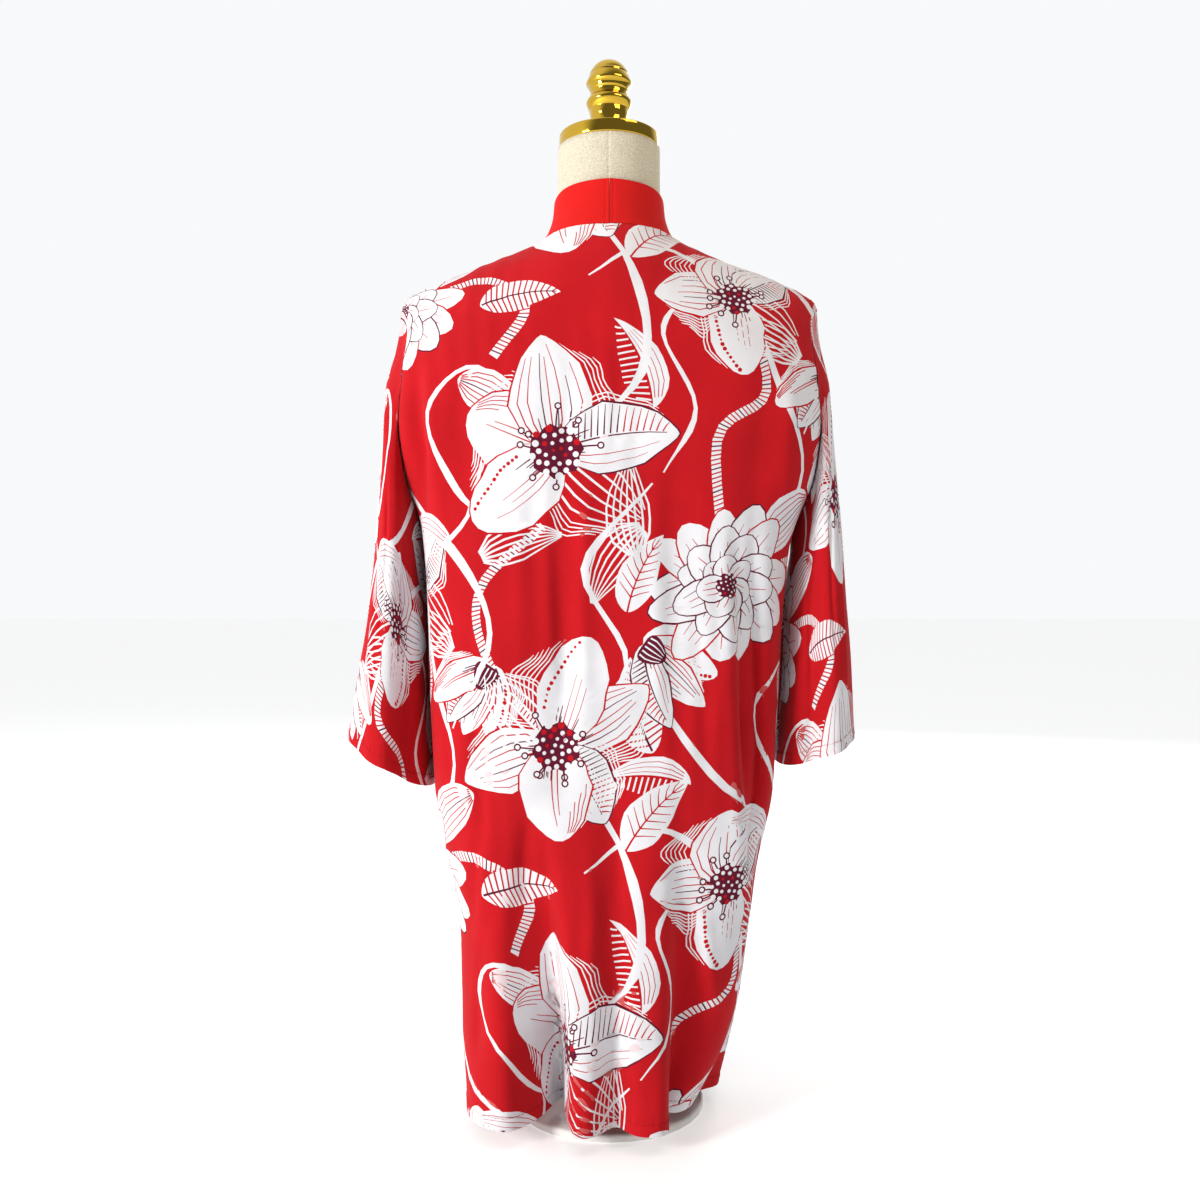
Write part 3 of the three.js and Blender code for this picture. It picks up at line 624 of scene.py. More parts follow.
# Cloth with its print cut into the mesh: art is a list of (dye, outline), painted in order.
# The wrong side has the print's large shapes only, as dye that came through.
def printedCloth(name, chart, outline, art, hemV):
    outline = np.array(outline)
    low, high = outline.min(0), outline.max(0)
    art = [(dye, shape) for dye, shape in art if (shape.max(0) > low).all() and (shape.min(0) < high).all()]
    forward = np.roll(outline, -1, axis=0) - np.roll(outline, 1, axis=0)
    rimLine = outline + unit(np.stack([-forward[:, 1], forward[:, 0]], -1)) * meshStep["rim"]
    hemLine = hemV + jacket["hemTurn"]
    guides = [levelLine(outline, hemLine + off, meshStep["alongHem"], 1.8) for off in meshStep["byHem"]]
    flat, faces, dyes = cutFace(outline, rimLine, guides, art)
    rim, rimFace = rimEdges(faces)
    follow = {int(a): int(b) for a, b in rim}
    loop = [int(rim[0, 0])]
    while follow[loop[-1]] != loop[0]:
        loop.append(follow[loop[-1]])
    large = []
    for dye, shape in art:
        x, y = np.asarray(shape).T
        size = abs(x @ np.roll(y, 1) - y @ np.roll(x, 1)) / 2
        if size > soakThrough and windingInside(shape, outline).all():
            large.append((dye, shape))
    ring = flat[loop]
    wrongFlat, wrongFaces, wrongDyes = cutFace(ring, rimLine[::2], guides[2:3], large)
    wrongRim = np.unique(rimEdges(wrongFaces)[0])
    matched = {}
    for i in loop:
        off = wrongFlat[wrongRim] - flat[i]
        matched[i] = int(wrongRim[np.argmin((off * off).sum(1))]) + len(flat)
    print(name, "printed with", len(art), "shapes")
    a, b = rim[:, 0], rim[:, 1]
    otherA, otherB = (np.array([matched[int(i)] for i in ends]) for ends in (a, b))
    walls = np.concatenate([np.stack([b, a, otherA], -1), np.stack([b, otherA, otherB], -1)])
    dyeOfRim = dyes[rimFace]
    allFaces = np.concatenate([faces, wrongFaces[:, ::-1] + len(flat), walls])
    if chart.flip:
        allFaces = allFaces[:, ::-1]
    outer, out = sewnPlaces(chart, flat, outline, hemV)
    back, backOut = sewnPlaces(chart, wrongFlat, outline, hemV)
    double = smooth((hemLine + 0.4 - wrongFlat[:, 1]) / 0.8)[:, None]
    inner = back - backOut * jacket["cloth"] * (1 + 1.1 * double)
    piece = meshPiece(name, np.concatenate([outer, inner]), allFaces.tolist(),
                      np.concatenate([dyes, wrongDyes, dyeOfRim, dyeOfRim]))
    mesh = piece.data
    keepFlat(mesh, np.pad(np.concatenate([flat, wrongFlat]), ((0, 0), (0, 1))))
    inside = mesh.attributes.new("inside", "FLOAT", "POINT")
    inside.data.foreach_set("value", np.repeat([0.0, 1.0], (len(flat), len(wrongFlat))))
    mesh.normals_split_custom_set_from_vertices(np.concatenate([out, -backOut]))
    return piece


# Where each point lay on the flat cloth, for the weave of its material.
def keepFlat(mesh, flat):
    place = mesh.attributes.new("flat", "FLOAT_VECTOR", "POINT")
    place.data.foreach_set("vector", (flat * mm).ravel())


# Faces of a closed tube, ring after ring, with a cap at each end.
def tubeFaces(rows, sides, turned=False):
    faces = []
    for j in range(rows - 1):
        for i in range(sides):
            a, b = j * sides + i, j * sides + (i + 1) % sides
            faces.append((a, a + sides, b + sides, b) if turned else (a, b, b + sides, a + sides))
    first, last = range(sides), range((rows - 1) * sides, rows * sides)
    return faces + [tuple(first if turned else first[::-1]), tuple(last[::-1] if turned else last)]


# Stitches along the hem, one small thread after another.
def stitchRow(name, chart, outline, hemV):
    flat = levelLine(outline, hemV + jacket["hemTurn"], stitch["every"], 3.0)
    places, out = sewnPlaces(chart, flat, outline, hemV)
    across = chart.at(chart.across, flat[:, 0], flat[:, 1])
    side = np.cross(out, across)
    turns = np.arange(stitch["sides"]) * 2 * math.pi / stitch["sides"]
    oneStitch = tubeFaces(len(stitchRings), stitch["sides"])
    points, faces = [], []
    for k in range(len(flat)):
        faces += [tuple(len(points) + i for i in face) for face in oneStitch]
        for share, size in stitchRings:
            middle = places[k] + out[k] * stitch["lift"] + across[k] * share * stitch["long"]
            reach = stitch["thick"] / 2 * size
            points += [middle + reach * (math.cos(t) * side[k] + math.sin(t) * out[k]) for t in turns]
    return addMaterials(meshPiece(name, points, faces), thread)


def makePanel(name, node, chart, outline, hemV):
    piece = printedCloth(name, chart, outline, cutArt(outline, cutPlaces[node]), hemV)
    finishPiece(addMaterials(piece, *printedCloths), node)
    stitches = stitchRow("stitches_" + node, chart, np.array(outline), hemV)
    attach(stitches, "root")


# Places and normals of the sewn cloth: it sinks at its seams, puckers beside them, and its hem is stitched.
def sewnPlaces(chart, flat, outline, hemV):
    u, v = flat[:, 0], flat[:, 1]
    places, out = chart.at(chart.places, u, v), unit(chart.at(chart.normals, u, v))
    across, up = chart.at(chart.across, u, v), chart.at(chart.up, u, v)
    away, toward, along = toOutline(flat, outline, sewing["reach"])
    seam = smooth((v - hemV - 3) / 4)
    sink = sewing["sink"] * np.exp(-(away / sewing["sinkWide"]) ** 2) * seam
    wave = 2 * math.pi / sewing["puckerEvery"]
    phase = wave * along + 1.7 * np.sin(along / 31)
    near = sewing["pucker"] * np.exp(-away / sewing["puckerReach"]) * seam * (away < 1e8)
    lift = -sink + near * np.sin(phase)
    rise = near * np.sin(phase) / sewing["puckerReach"] - sink * 2 * away / sewing["sinkWide"] ** 2
    slope = toward * rise[:, None]
    slope += np.stack([-toward[:, 1], toward[:, 0]], -1) * (near * wave * np.cos(phase))[:, None]
    fromHem = (v - hemV - jacket["hemTurn"]) / sewing["hemGrooveWide"]
    groove = sewing["hemGroove"] * np.exp(-fromHem ** 2)
    ripple = sewing["hemPucker"] * np.exp(-(fromHem / 6) ** 2)
    turn = 2 * math.pi / sewing["hemPuckerEvery"]
    bend = turn * u + 1.5 * np.sin(u / 27)
    rolled = clamp01(0.3 - fromHem * sewing["hemGrooveWide"] / sewing["hemSwellWide"])
    lift += ripple * np.sin(bend) - groove + sewing["hemSwell"] * smooth(rolled)
    slope[:, 0] += ripple * turn * np.cos(bend)
    slope[:, 1] += groove * 2 * fromHem / sewing["hemGrooveWide"]
    slope[:, 1] -= sewing["hemSwell"] * 6 * rolled * (1 - rolled) / sewing["hemSwellWide"]
    return places + out * lift[:, None], unit(out - across * slope[:, :1] - up * slope[:, 1:])


def meshPiece(name, places, faces, slots=None):
    mesh = bpy.data.meshes.new(name)
    mesh.from_pydata((np.asarray(places) * mm).tolist(), [], faces)
    mesh.update()
    mesh.shade_smooth()
    if slots is not None:
        mesh.polygons.foreach_set("material_index", np.asarray(slots, np.int32))
    piece = bpy.data.objects.new(name, mesh)
    bpy.context.scene.collection.objects.link(piece)
    return piece


def addMaterials(piece, *materials):
    for material in materials:
        piece.data.materials.append(material)
    return piece


# Print, drawn flat: shapes are (dye, outline) in the motif's own place, then set on the cloth.
# Pen widths and sizes are in millimetres, other numbers shares of a petal's or leaf's length and width.
print("Drawing the print")
red, white, maroon = 0, 1, 2
goldenTurn = 2.39996  # radians


# A pen line as an outline.
def stroke(points, widths):
    points = np.asarray(points, float)
    widths = np.broadcast_to(np.asarray(widths, float), len(points))
    along = unit(np.gradient(points, axis=0))
    side = np.stack([-along[:, 1], along[:, 0]], -1) * widths[:, None] / 2
    return np.concatenate([points + side, (points - side)[::-1]])


def disc(x, y, r, count):
    t = np.linspace(0, 2 * math.pi, count, endpoint=False)
    return np.stack([x + r * np.cos(t), y + r * np.sin(t)], -1)


# A smooth line through the points.
def curve(points, steps):
    p = np.asarray(points, float)
    p = np.concatenate([[2 * p[0] - p[1]], p, [2 * p[-1] - p[-2]]])
    found = []
    for i in range(1, len(p) - 2):
        for t in np.arange(steps) / steps:
            a, b, c, d = p[i - 1], p[i], p[i + 1], p[i + 2]
            found.append(0.5 * (2 * b + (c - a) * t + (2 * a - 5 * b + 4 * c - d) * t * t
                                + (3 * b - a - 3 * c + d) * t ** 3))
    found.append(p[-2])
    return np.array(found)


# Shapes turned by degrees and moved to x, y.
def setOn(shapes, x, y, turn):
    cos, sin = math.cos(math.radians(turn)), math.sin(math.radians(turn))
    placed = []
    for dye, shape in shapes:
        u, v = shape[:, 0], shape[:, 1]
        placed.append((dye, np.stack([x + u * cos - v * sin, y + u * sin + v * cos], -1)))
    return placed


# A blade: a petal or leaf laid along a bent midline. along 0 to 1, across -1 to 1.
class Blade:
    def __init__(self, length, width, bend=0.0, belly=0.6, tip=0.75, wave=0.0, phase=0.0):
        self.length, self.width, self.bend = length, width, bend
        self.belly, self.tip, self.wave, self.phase = belly, tip, wave, phase

    def at(self, along, across):
        along, across = np.broadcast_arrays(np.asarray(along, float), np.asarray(across, float))
        swell = np.sin(math.pi * np.clip(along, 1e-4, 1) ** self.belly) ** self.tip
        ripple = 1 + self.wave * np.sin(along * 17 + self.phase + np.sign(across)) * np.abs(across)
        aside = across * self.width / 2 * swell * ripple
        angle = self.bend * along
        near = np.where(np.abs(angle) < 1e-6, 1e-6, angle)
        x = self.length * along * np.sin(near) / near
        y = self.length * along * (1 - np.cos(near)) / near
        return np.stack([x - aside * np.sin(angle), y + aside * np.cos(angle)], -1)

    def outline(self, steps=17, other=-1.0):
        t = 0.5 - 0.5 * np.cos(np.linspace(0, math.pi, steps))
        return np.concatenate([self.at(t, 1.0), self.at(t[::-1][1:-1], other)])

    def vein(self, across, start, end, width, steps=9):
        t = np.linspace(start, end, steps)
        return stroke(self.at(t, across), width * np.interp(t, (start, end), (1.0, 0.45)))


# Echo lines beside a petal, each shorter and further out than the one before.
def halo(blade, side, count, rng):
    shapes = []
    for k in range(count):
        low, high = 0.14 + 0.045 * k + rng.uniform(0, 0.05), 0.93 - 0.045 * k - rng.uniform(0, 0.07)
        line = blade.at(np.linspace(low, high, 8), side * (1.13 + 0.12 * k))
        shapes.append((white, stroke(line, [0.5] + [1.3] * 6 + [0.5])))
    return shapes


# One petal: plain with a double rib, veined, shaded with hatching, dotted, or drawn in lines alone.
def petal(length, width, rng, style, bend=None):
    bend = rng.uniform(-0.45, 0.45) if bend is None else bend
    tip = 0.5 if style in ("plain", "dotted") else 0.72
    blade = Blade(length, width, bend, 0.86 + rng.uniform(-0.08, 0.14), tip, 0.05, rng.uniform(0, 6))
    side = int(rng.choice([-1, 1]))
    shapes = halo(blade, side, int(rng.integers(2, 7)), rng)
    if style == "lines":
        return shapes + [(white, blade.vein(0.3 * k, 0.05, rng.uniform(0.86, 0.98), 2.8, 6))
                         for k in range(-3, 4)]
    edge = Blade(length * 1.015, width + 3.4, bend, blade.belly, tip, 0.05, blade.phase)
    shapes += [(maroon if style == "shaded" else red, edge.outline(12)), (white, blade.outline(12))]
    if style == "plain":
        shapes += [(red, blade.vein(across, 0.03, rng.uniform(0.7, 0.86), 1.6, 6)) for across in (-0.06, 0.1)]
        for k in range(4):
            t = np.linspace(0.4 + 0.1 * k, 0.93, 5)
            shapes.append((red, stroke(blade.at(t, side * (0.86 - 0.14 * k)), 0.9)))
    elif style == "shaded":
        for k in range(15):
            low = 0.14 + 0.052 * k
            line = blade.at(low + 0.05 * np.linspace(0, 1, 3), side * np.linspace(0.12, 0.94, 3))
            shapes.append((maroon if k < 8 else red, stroke(line, (1.5, 1.2, 0.6))))
        shapes += [(maroon, blade.vein(0.06 * side, 0.03, 0.9, 1.8, 7)),
                   (red, blade.vein(-0.45 * side, 0.1, 0.84, 1.0, 6)),
                   (red, blade.vein(-0.72 * side, 0.16, 0.74, 0.9, 6))]
    elif style == "dotted":
        for k in range(13):
            x, y = blade.at(0.3 + 0.052 * k, side * (0.74 - 0.02 * k))
            shapes.append((red, disc(x, y, rng.uniform(1.2, 2.3), 7)))
        shapes += [(red, blade.vein(0.2 * k - 0.2 * side, 0.05, rng.uniform(0.55, 0.8), 1.1, 6))
                   for k in range(-1, 2)]
    else:
        for k in range(-3, 4):
            across = 0.26 * k + rng.uniform(-0.04, 0.04)
            dye = maroon if k in (-1, 2) else red
            shapes.append((dye, blade.vein(across, 0.05, rng.uniform(0.62, 0.94), 1.5, 5)))
    return shapes + [(maroon, blade.vein(rng.uniform(-0.6, 0.6), 0.05, rng.uniform(0.22, 0.4), 1.8, 4))
                     for k in range(4)]


# A maroon heart filled with beads, set in a spiral as seeds are.
def beadHeart(radius, rng, beads=30):
    edge = disc(0, 0, radius, 22)
    edge = edge * (1 + 0.09 * np.sin(np.arange(22) * 2.1))[:, None]
    shapes = [(maroon, edge)]
    for k in range(beads):
        reach = radius * math.sqrt((k + 0.3) / beads)
        turn = k * goldenTurn
        size = mix(0.075, 0.15, k / beads) * radius * rng.uniform(0.8, 1.15)
        dye = white if rng.random() < 0.8 else red
        shapes.append((dye, disc(reach * math.cos(turn), reach * math.sin(turn), size, 9)))
    return shapes


# An open flower of large petals, with stamens.
def blossom(size, seed, petals):
    rng = np.random.default_rng(seed)
    shapes = []
    styles = ["plain", "veined", "shaded", "lines", "dotted", "veined", "shaded"]
    for k in rng.permutation(petals):
        length = size * rng.uniform(0.84, 1.12)
        width = size * rng.uniform(0.56, 0.78) * 5.4 / petals
        turn = 360 * k / petals + rng.uniform(-13, 13)
        shapes += setOn(petal(length, width, rng, styles[(k + seed) % len(styles)]), 0, 0, turn)
    for k in range(9):
        turn = rng.uniform(0, 2 * math.pi)
        reach = size * rng.uniform(0.28, 0.4)
        t = np.linspace(0.3, 1, 5)[:, None]
        line = reach * t * [math.cos(turn), math.sin(turn)] + 5 * t * t * [-math.sin(turn), math.cos(turn)]
        end = line[-1]
        shapes += [(maroon, stroke(line, 1.5)), (maroon, disc(*end, 3.6, 9)), (white, disc(*end, 2.1, 8))]
    return shapes + beadHeart(size * 0.23, rng)


# A many-petalled bloom: two rings of narrow petals round a beaded heart.
def fullBloom(size, seed):
    rng = np.random.default_rng(seed)
    shapes = []
    for ring, (count, reach, wide) in enumerate(((13, 1.0, 0.5), (10, 0.66, 0.42), (7, 0.4, 0.32))):
        for k in range(count):
            length = size * reach * rng.uniform(0.88, 1.08)
            blade = Blade(length, size * wide * rng.uniform(0.85, 1.1), rng.uniform(-0.3, 0.3), 1.0, 0.5)
            turn = 360 * (k + 0.4 * ring) / count + rng.uniform(-4, 4)
            edge = Blade(length * 1.02, blade.width + 3.0, blade.bend, 1.0, 0.5)
            art = [(maroon if ring or k % 4 == 0 else red, edge.outline(9)),
                   (white, blade.outline(9)),
                   (red, blade.vein(0.0, 0.2, rng.uniform(0.7, 0.9), 1.4, 4))]
            for side in (-1, 1):
                dye = maroon if ring == 1 else red
                art.append((dye, blade.vein(0.45 * side, 0.3, rng.uniform(0.55, 0.8), 1.1, 3)))
            shapes += setOn(art, 0, 0, turn)
    return shapes + beadHeart(size * 0.15, rng, 22)


# A flower seen from the side, its petals spread from a striped cup.
def bell(size, seed, petals=4):
    rng = np.random.default_rng(seed)
    shapes = []
    for k in range(petals):
        turn = mix(-44, 44, k / (petals - 1)) + rng.uniform(-4, 4)
        style = ("veined", "shaded", "plain", "dotted")[(k + seed) % 4]
        blade = petal(size * rng.uniform(0.85, 1.1), size * 0.44, rng, style, math.radians(-turn) * 0.5)
        shapes += setOn(blade, 0, 0, turn)
    cup = Blade(size * 0.34, size * 0.36, 0, 0.5, 0.5)
    shapes.append((maroon, cup.outline()))
    return shapes + [(white, cup.vein(0.36 * k, 0.1, 0.85, 1.6, 4)) for k in range(-2, 3)]


# A leaf of one of the kinds lines, half, veined, bars and long.
def leaf(length, width, seed, kind, bend):
    rng = np.random.default_rng(seed)
    blade = Blade(length, width, bend, 0.72, 0.9, 0.03, rng.uniform(0, 6))
    if kind == "lines":
        return [(white, blade.vein(0.31 * k, 0.03, 0.97, 2.4, 7)) for k in range(-3, 4)]
    if kind == "half":
        shapes = [(white, blade.outline(16, 0.08))]
        for k in range(13):
            line = blade.at(0.08 + 0.066 * k + 0.05 * np.linspace(0, 1, 3), -np.linspace(0.04, 0.98, 3))
            shapes.append((white, stroke(line, 1.7)))
        return shapes + [(red, blade.vein(0.25 * k, 0.1, 0.8, 0.9, 6)) for k in range(1, 4)]
    shapes = [(white, blade.outline())]
    if kind == "veined":
        run = np.linspace(0, 0.82, 3)
        for k in range(1, 8):
            for side in (-1, 1):
                line = blade.at(0.08 + 0.1 * k + 0.16 * run, side * run)
                shapes.append((red, stroke(line, np.linspace(1.3, 0.6, 3))))
        return shapes + [(red, blade.vein(0, 0.0, 0.93, 1.9))]
    if kind == "bars":
        for k in range(13):
            bar = blade.at(0.08 + 0.068 * k + 0.05 * np.array([1, 0, 1]), np.array([-1.1, 0, 1.1]))
            shapes.append((red, stroke(bar, 1.6)))
        return shapes + [(maroon, blade.vein(0, 0.02, 0.95, 2.2))]
    return shapes + [(red if k else maroon, blade.vein(0.25 * k, 0.03, 0.9 - 0.04 * abs(k), 1.3, 6))
                     for k in range(-3, 4)]


# A plain stem that swells and thins like brushwork.
def vine(points, width, ends=0.35):
    line = curve(points, 6)
    t = np.linspace(0, 1, len(line))
    swell = 1 + 0.4 * np.sin(t * 17 + width) * np.sin(t * 7)
    taper = np.minimum(1, ends + 3.2 * np.minimum(t, 1 - t))
    return [(white, stroke(line, width * swell * taper))]


# A stem with short bars across it.
def barredStem(points, width):
    line = curve(points, 6)
    shapes = [(white, stroke(line, width))]
    lengths, along = runAlong(line), unit(np.gradient(line, axis=0))
    for k, s in enumerate(np.arange(2, lengths[-1] - 1, 4.2)):
        p = np.array([np.interp(s, lengths, line[:, k]) for k in (0, 1)])
        d = np.array([np.interp(s, lengths, along[:, k]) for k in (0, 1)])
        side = np.array([-d[1], d[0]]) * width * 0.56
        skew = d * 1.2
        dye = maroon if k % 5 == 2 else red
        shapes.append((dye, stroke([p - side - skew, p + side + skew], 1.35)))
    return shapes


# The print's repeat, a half drop. Vines and stems: points, width. Motifs: kind, u, v, turn, size, seed.
printRepeat = {
    "across": 340.0, "up": 560.0, "margin": 160.0,  # margin: how far a motif reaches past its own repeat
    "vines": [
        ([(90, 110), (10, 185), (20, 290), (85, 395)], 7.5),
        ([(265, 265), (335, 190), (280, 90), (190, 20), (150, -60), (190, -150)], 7.0),
        ([(85, 395), (20, 470), (60, 560), (0, 640)], 5.5),
        ([(90, 110), (165, 190), (215, 150), (185, 75), (140, 40)], 5.0),
        ([(265, 265), (190, 360), (215, 450), (258, 545), (330, 600), (400, 560)], 6.5),
        ([(258, 545), (180, 600), (160, 660)], 5.0),
        ([(330, 370), (300, 430), (330, 500), (310, 540)], 4.2),
    ],
    "stems": [
        ([(265, 265), (170, 290), (120, 250), (150, 200)], 9.5),
        ([(258, 545), (230, 450), (280, 400), (265, 265)], 9.0),
        ([(85, 395), (150, 470), (160, 540), (100, 600)], 8.5),
    ],
    "motifs": [
        ("veined", 20, 300, 118, 88, 1), ("half", 190, 20, 30, 92, 2), ("bars", 335, 110, 62, 92, 3),
        ("long", 165, 350, -24, 104, 4), ("lines", 12, 12, 70, 96, 5), ("half", 340, 430, 84, 94, 6),
        ("long", 185, 180, -160, 92, 7), ("lines", 190, 480, 40, 90, 8), ("bars", 165, 255, 160, 80, 9),
        ("lines", 345, 320, -40, 90, 10), ("veined", 20, 520, 100, 80, 11), ("half", 300, 640, 20, 84, 12),
        ("lines", 160, 570, 150, 84, 15),
        ("bell", 345, 210, 215, 76, 26), ("bell", 150, 470, -60, 74, 27),
        ("five", 90, 110, 12, 106, 21), ("full", 265, 265, 0, 78, 22), ("six", 85, 395, 40, 96, 24),
        ("five", 258, 545, 70, 84, 29),
    ],
}


def motif(kind, size, seed):
    if kind in ("five", "six"):
        return blossom(size, seed, 5 if kind == "five" else 6)
    if kind == "full":
        return fullBloom(size, seed)
    if kind == "bell":
        return bell(size, seed)
    return leaf(size, size * 0.46, seed, kind, 0.5 if seed % 2 else -0.6)


def drawRepeat():
    art = []
    for points, width in printRepeat["vines"]:
        art += vine(points, width)
    for points, width in printRepeat["stems"]:
        art += barredStem(points, width)
    for kind, u, v, turn, size, seed in printRepeat["motifs"]:
        art += setOn(motif(kind, size, seed), u, v, turn)
    return art


# Leaves out each shape that a later one covers.
def dropHidden(art):
    counts = [len(shape) for dye, shape in art]
    starts = np.concatenate(([0], np.cumsum(counts)))
    points = np.concatenate([shape for dye, shape in art])
    kept = np.ones(len(art), bool)
    for k, (dye, shape) in enumerate(art):
        low, high = shape.min(0), shape.max(0)
        if k and (high - low).min() > 14:
            before = points[:starts[k]]
            near = np.nonzero(((before > low) & (before < high)).all(1))[0]
            inside = np.zeros(len(before))
            inside[near] = windingInside(before[near], shape)
            kept[:k] &= np.add.reduceat(inside, starts[:k]) < counts[:k]
    return [item for item, wanted in zip(art, kept) if wanted]


# The cloth's print where a panel was cut from it; shift is where the panel lay on the cloth.
def cutArt(outline, shift):
    across, up, margin = printRepeat["across"], printRepeat["up"], printRepeat["margin"]
    first = np.min(outline, axis=0) + shift - margin - (across, up)
    last = np.max(outline, axis=0) + shift + margin
    art = []
    for i in range(math.floor(first[0] / across), math.ceil(last[0] / across) + 1):
        drop = up / 2 if i % 2 else 0.0
        for j in range(math.floor((first[1] - drop) / up), math.ceil((last[1] - drop) / up) + 1):
            move = np.array([i * across - shift[0], j * up + drop - shift[1]])
            art += [(dye, shape + move) for dye, shape in repeatArt]
    return art


repeatArt = dropHidden(drawRepeat())


print("Mixing the finishes")


def fill(node, values):
    for socket, value in values.items():
        node.inputs[socket].default_value = value
    return node


def addNode(tree, kind, values=None, **settings):
    node = tree.nodes.new("ShaderNode" + kind)
    for name, value in settings.items():
        setattr(node, name, value)
    return fill(node, values or {})


def newMaterial(name, values):
    material = bpy.data.materials.new(name)
    material.use_nodes = True
    tree = material.node_tree
    return material, tree, fill(tree.nodes["Principled BSDF"], values)


def addNoise(tree, place, scale, detail):
    noise = addNode(tree, "TexNoise", {"Scale": scale, "Detail": detail})
    tree.links.new(place, noise.inputs["Vector"])
    return noise.outputs["Fac"]


# A colour between two, each given with the amount at which it is reached.
def addRamp(tree, amount, *stops):
    ramp = addNode(tree, "ValToRGB")
    for element, (position, colour) in zip(ramp.color_ramp.elements, stops):
        element.position, element.color = position, tuple(colour) + (1,)
    tree.links.new(amount, ramp.inputs["Fac"])
    return ramp.outputs["Color"]


def addBump(tree, shader, height, strength, distance):
    bump = addNode(tree, "Bump", {"Strength": strength, "Distance": distance})
    tree.links.new(height, bump.inputs["Height"])
    tree.links.new(bump.outputs["Normal"], shader.inputs["Normal"])


clothLook = {
    "red": (0.48, 0.006, 0.011), "white": (0.75, 0.75, 0.785), "maroon": (0.115, 0.006, 0.024),
    "plain": (0.62, 0.01, 0.009), "thread": (0.5, 0.02, 0.02),
    "roughness": 0.9, "sheen": 0.03, "specular": 0.12,
    "uneven": 14.0, "darker": 0.9, "lighter": 1.06,  # patches in the dye
    "wrongSide": (0.72, 0.3, 0.28), "faded": 0.3,  # the colour the wrong side goes towards, and how far
    "weave": (2600, 240), "weaveBump": (0.35, 0.0004),
}


def clothMaterial(name, colour):
    look = clothLook
    material, tree, shader = newMaterial(name, {
        "Roughness": look["roughness"], "Sheen Weight": look["sheen"],
        "Specular IOR Level": look["specular"],
    })
    join = tree.links.new
    place = addNode(tree, "Attribute", attribute_name="flat").outputs["Vector"]
    dark, light = ([c * look[share] for c in colour] for share in ("darker", "lighter"))
    dyed = addRamp(tree, addNoise(tree, place, look["uneven"], 4.0), (0.3, dark), (0.72, light))
    wrongSide = addNode(tree, "Attribute", attribute_name="inside")
    fade = addNode(tree, "Math", {1: look["faded"]}, operation="MULTIPLY")
    pale = addNode(tree, "Mix", {"B": look["wrongSide"] + (1,)}, data_type="RGBA")
    join(wrongSide.outputs["Fac"], fade.inputs[0])
    join(fade.outputs["Value"], pale.inputs["Factor"])
    join(dyed, pale.inputs["A"])
    join(pale.outputs["Result"], shader.inputs["Base Color"])
    both = addNode(tree, "Math", operation="ADD")
    for k, stretch in enumerate((look["weave"], look["weave"][::-1])):
        threads = addNode(tree, "VectorMath", {1: stretch + (1,)}, operation="MULTIPLY")
        join(place, threads.inputs[0])
        join(addNoise(tree, threads.outputs["Vector"], 1.0, 1.0), both.inputs[k])
    addBump(tree, shader, both.outputs["Value"], *look["weaveBump"])
    return material


linenLook = {
    "roughness": 0.9, "dark": (0.45, 0.40, 0.29), "pale": (0.70, 0.66, 0.53),
    "threads": 900.0, "bump": (0.4, 0.0005),
}


def linenMaterial():
    material, tree, shader = newMaterial("linen_cover", {"Roughness": linenLook["roughness"]})
    place = addNode(tree, "TexCoord").outputs["Object"]
    threads = addNoise(tree, place, linenLook["threads"], 2.0)
    colour = addRamp(tree, threads, (0.3, linenLook["dark"]), (0.7, linenLook["pale"]))
    tree.links.new(colour, shader.inputs["Base Color"])
    addBump(tree, shader, threads, *linenLook["bump"])
    return material


# Its roughness varies a little, as on a surface that has been wiped.
def metalMaterial(name, colour, metallic, roughness):
    material, tree, shader = newMaterial(name, {"Base Color": colour + (1,), "Metallic": metallic})
    place = addNode(tree, "TexCoord").outputs["Object"]
    spread = addNode(tree, "MapRange", {"To Min": roughness * 0.8, "To Max": roughness * 1.3})
    tree.links.new(addNoise(tree, place, 35.0, 3.0), spread.inputs["Value"])
    tree.links.new(spread.outputs["Result"], shader.inputs["Roughness"])
    return material


printedCloths = [clothMaterial("printed_" + dye, clothLook[dye]) for dye in ("red", "white", "maroon")]
plainRed = clothMaterial("plain_red", clothLook["plain"])
thread = clothMaterial("sewing_thread", clothLook["thread"])
linen = linenMaterial()
gold = metalMaterial("polished_gold", (0.68, 0.43, 0.045), 1.0, 0.07)
enamel = metalMaterial("pale_enamel", (0.82, 0.81, 0.78), 0.0, 0.35)


def finishPiece(piece, node):
    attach(piece, "root")
    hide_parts(node)


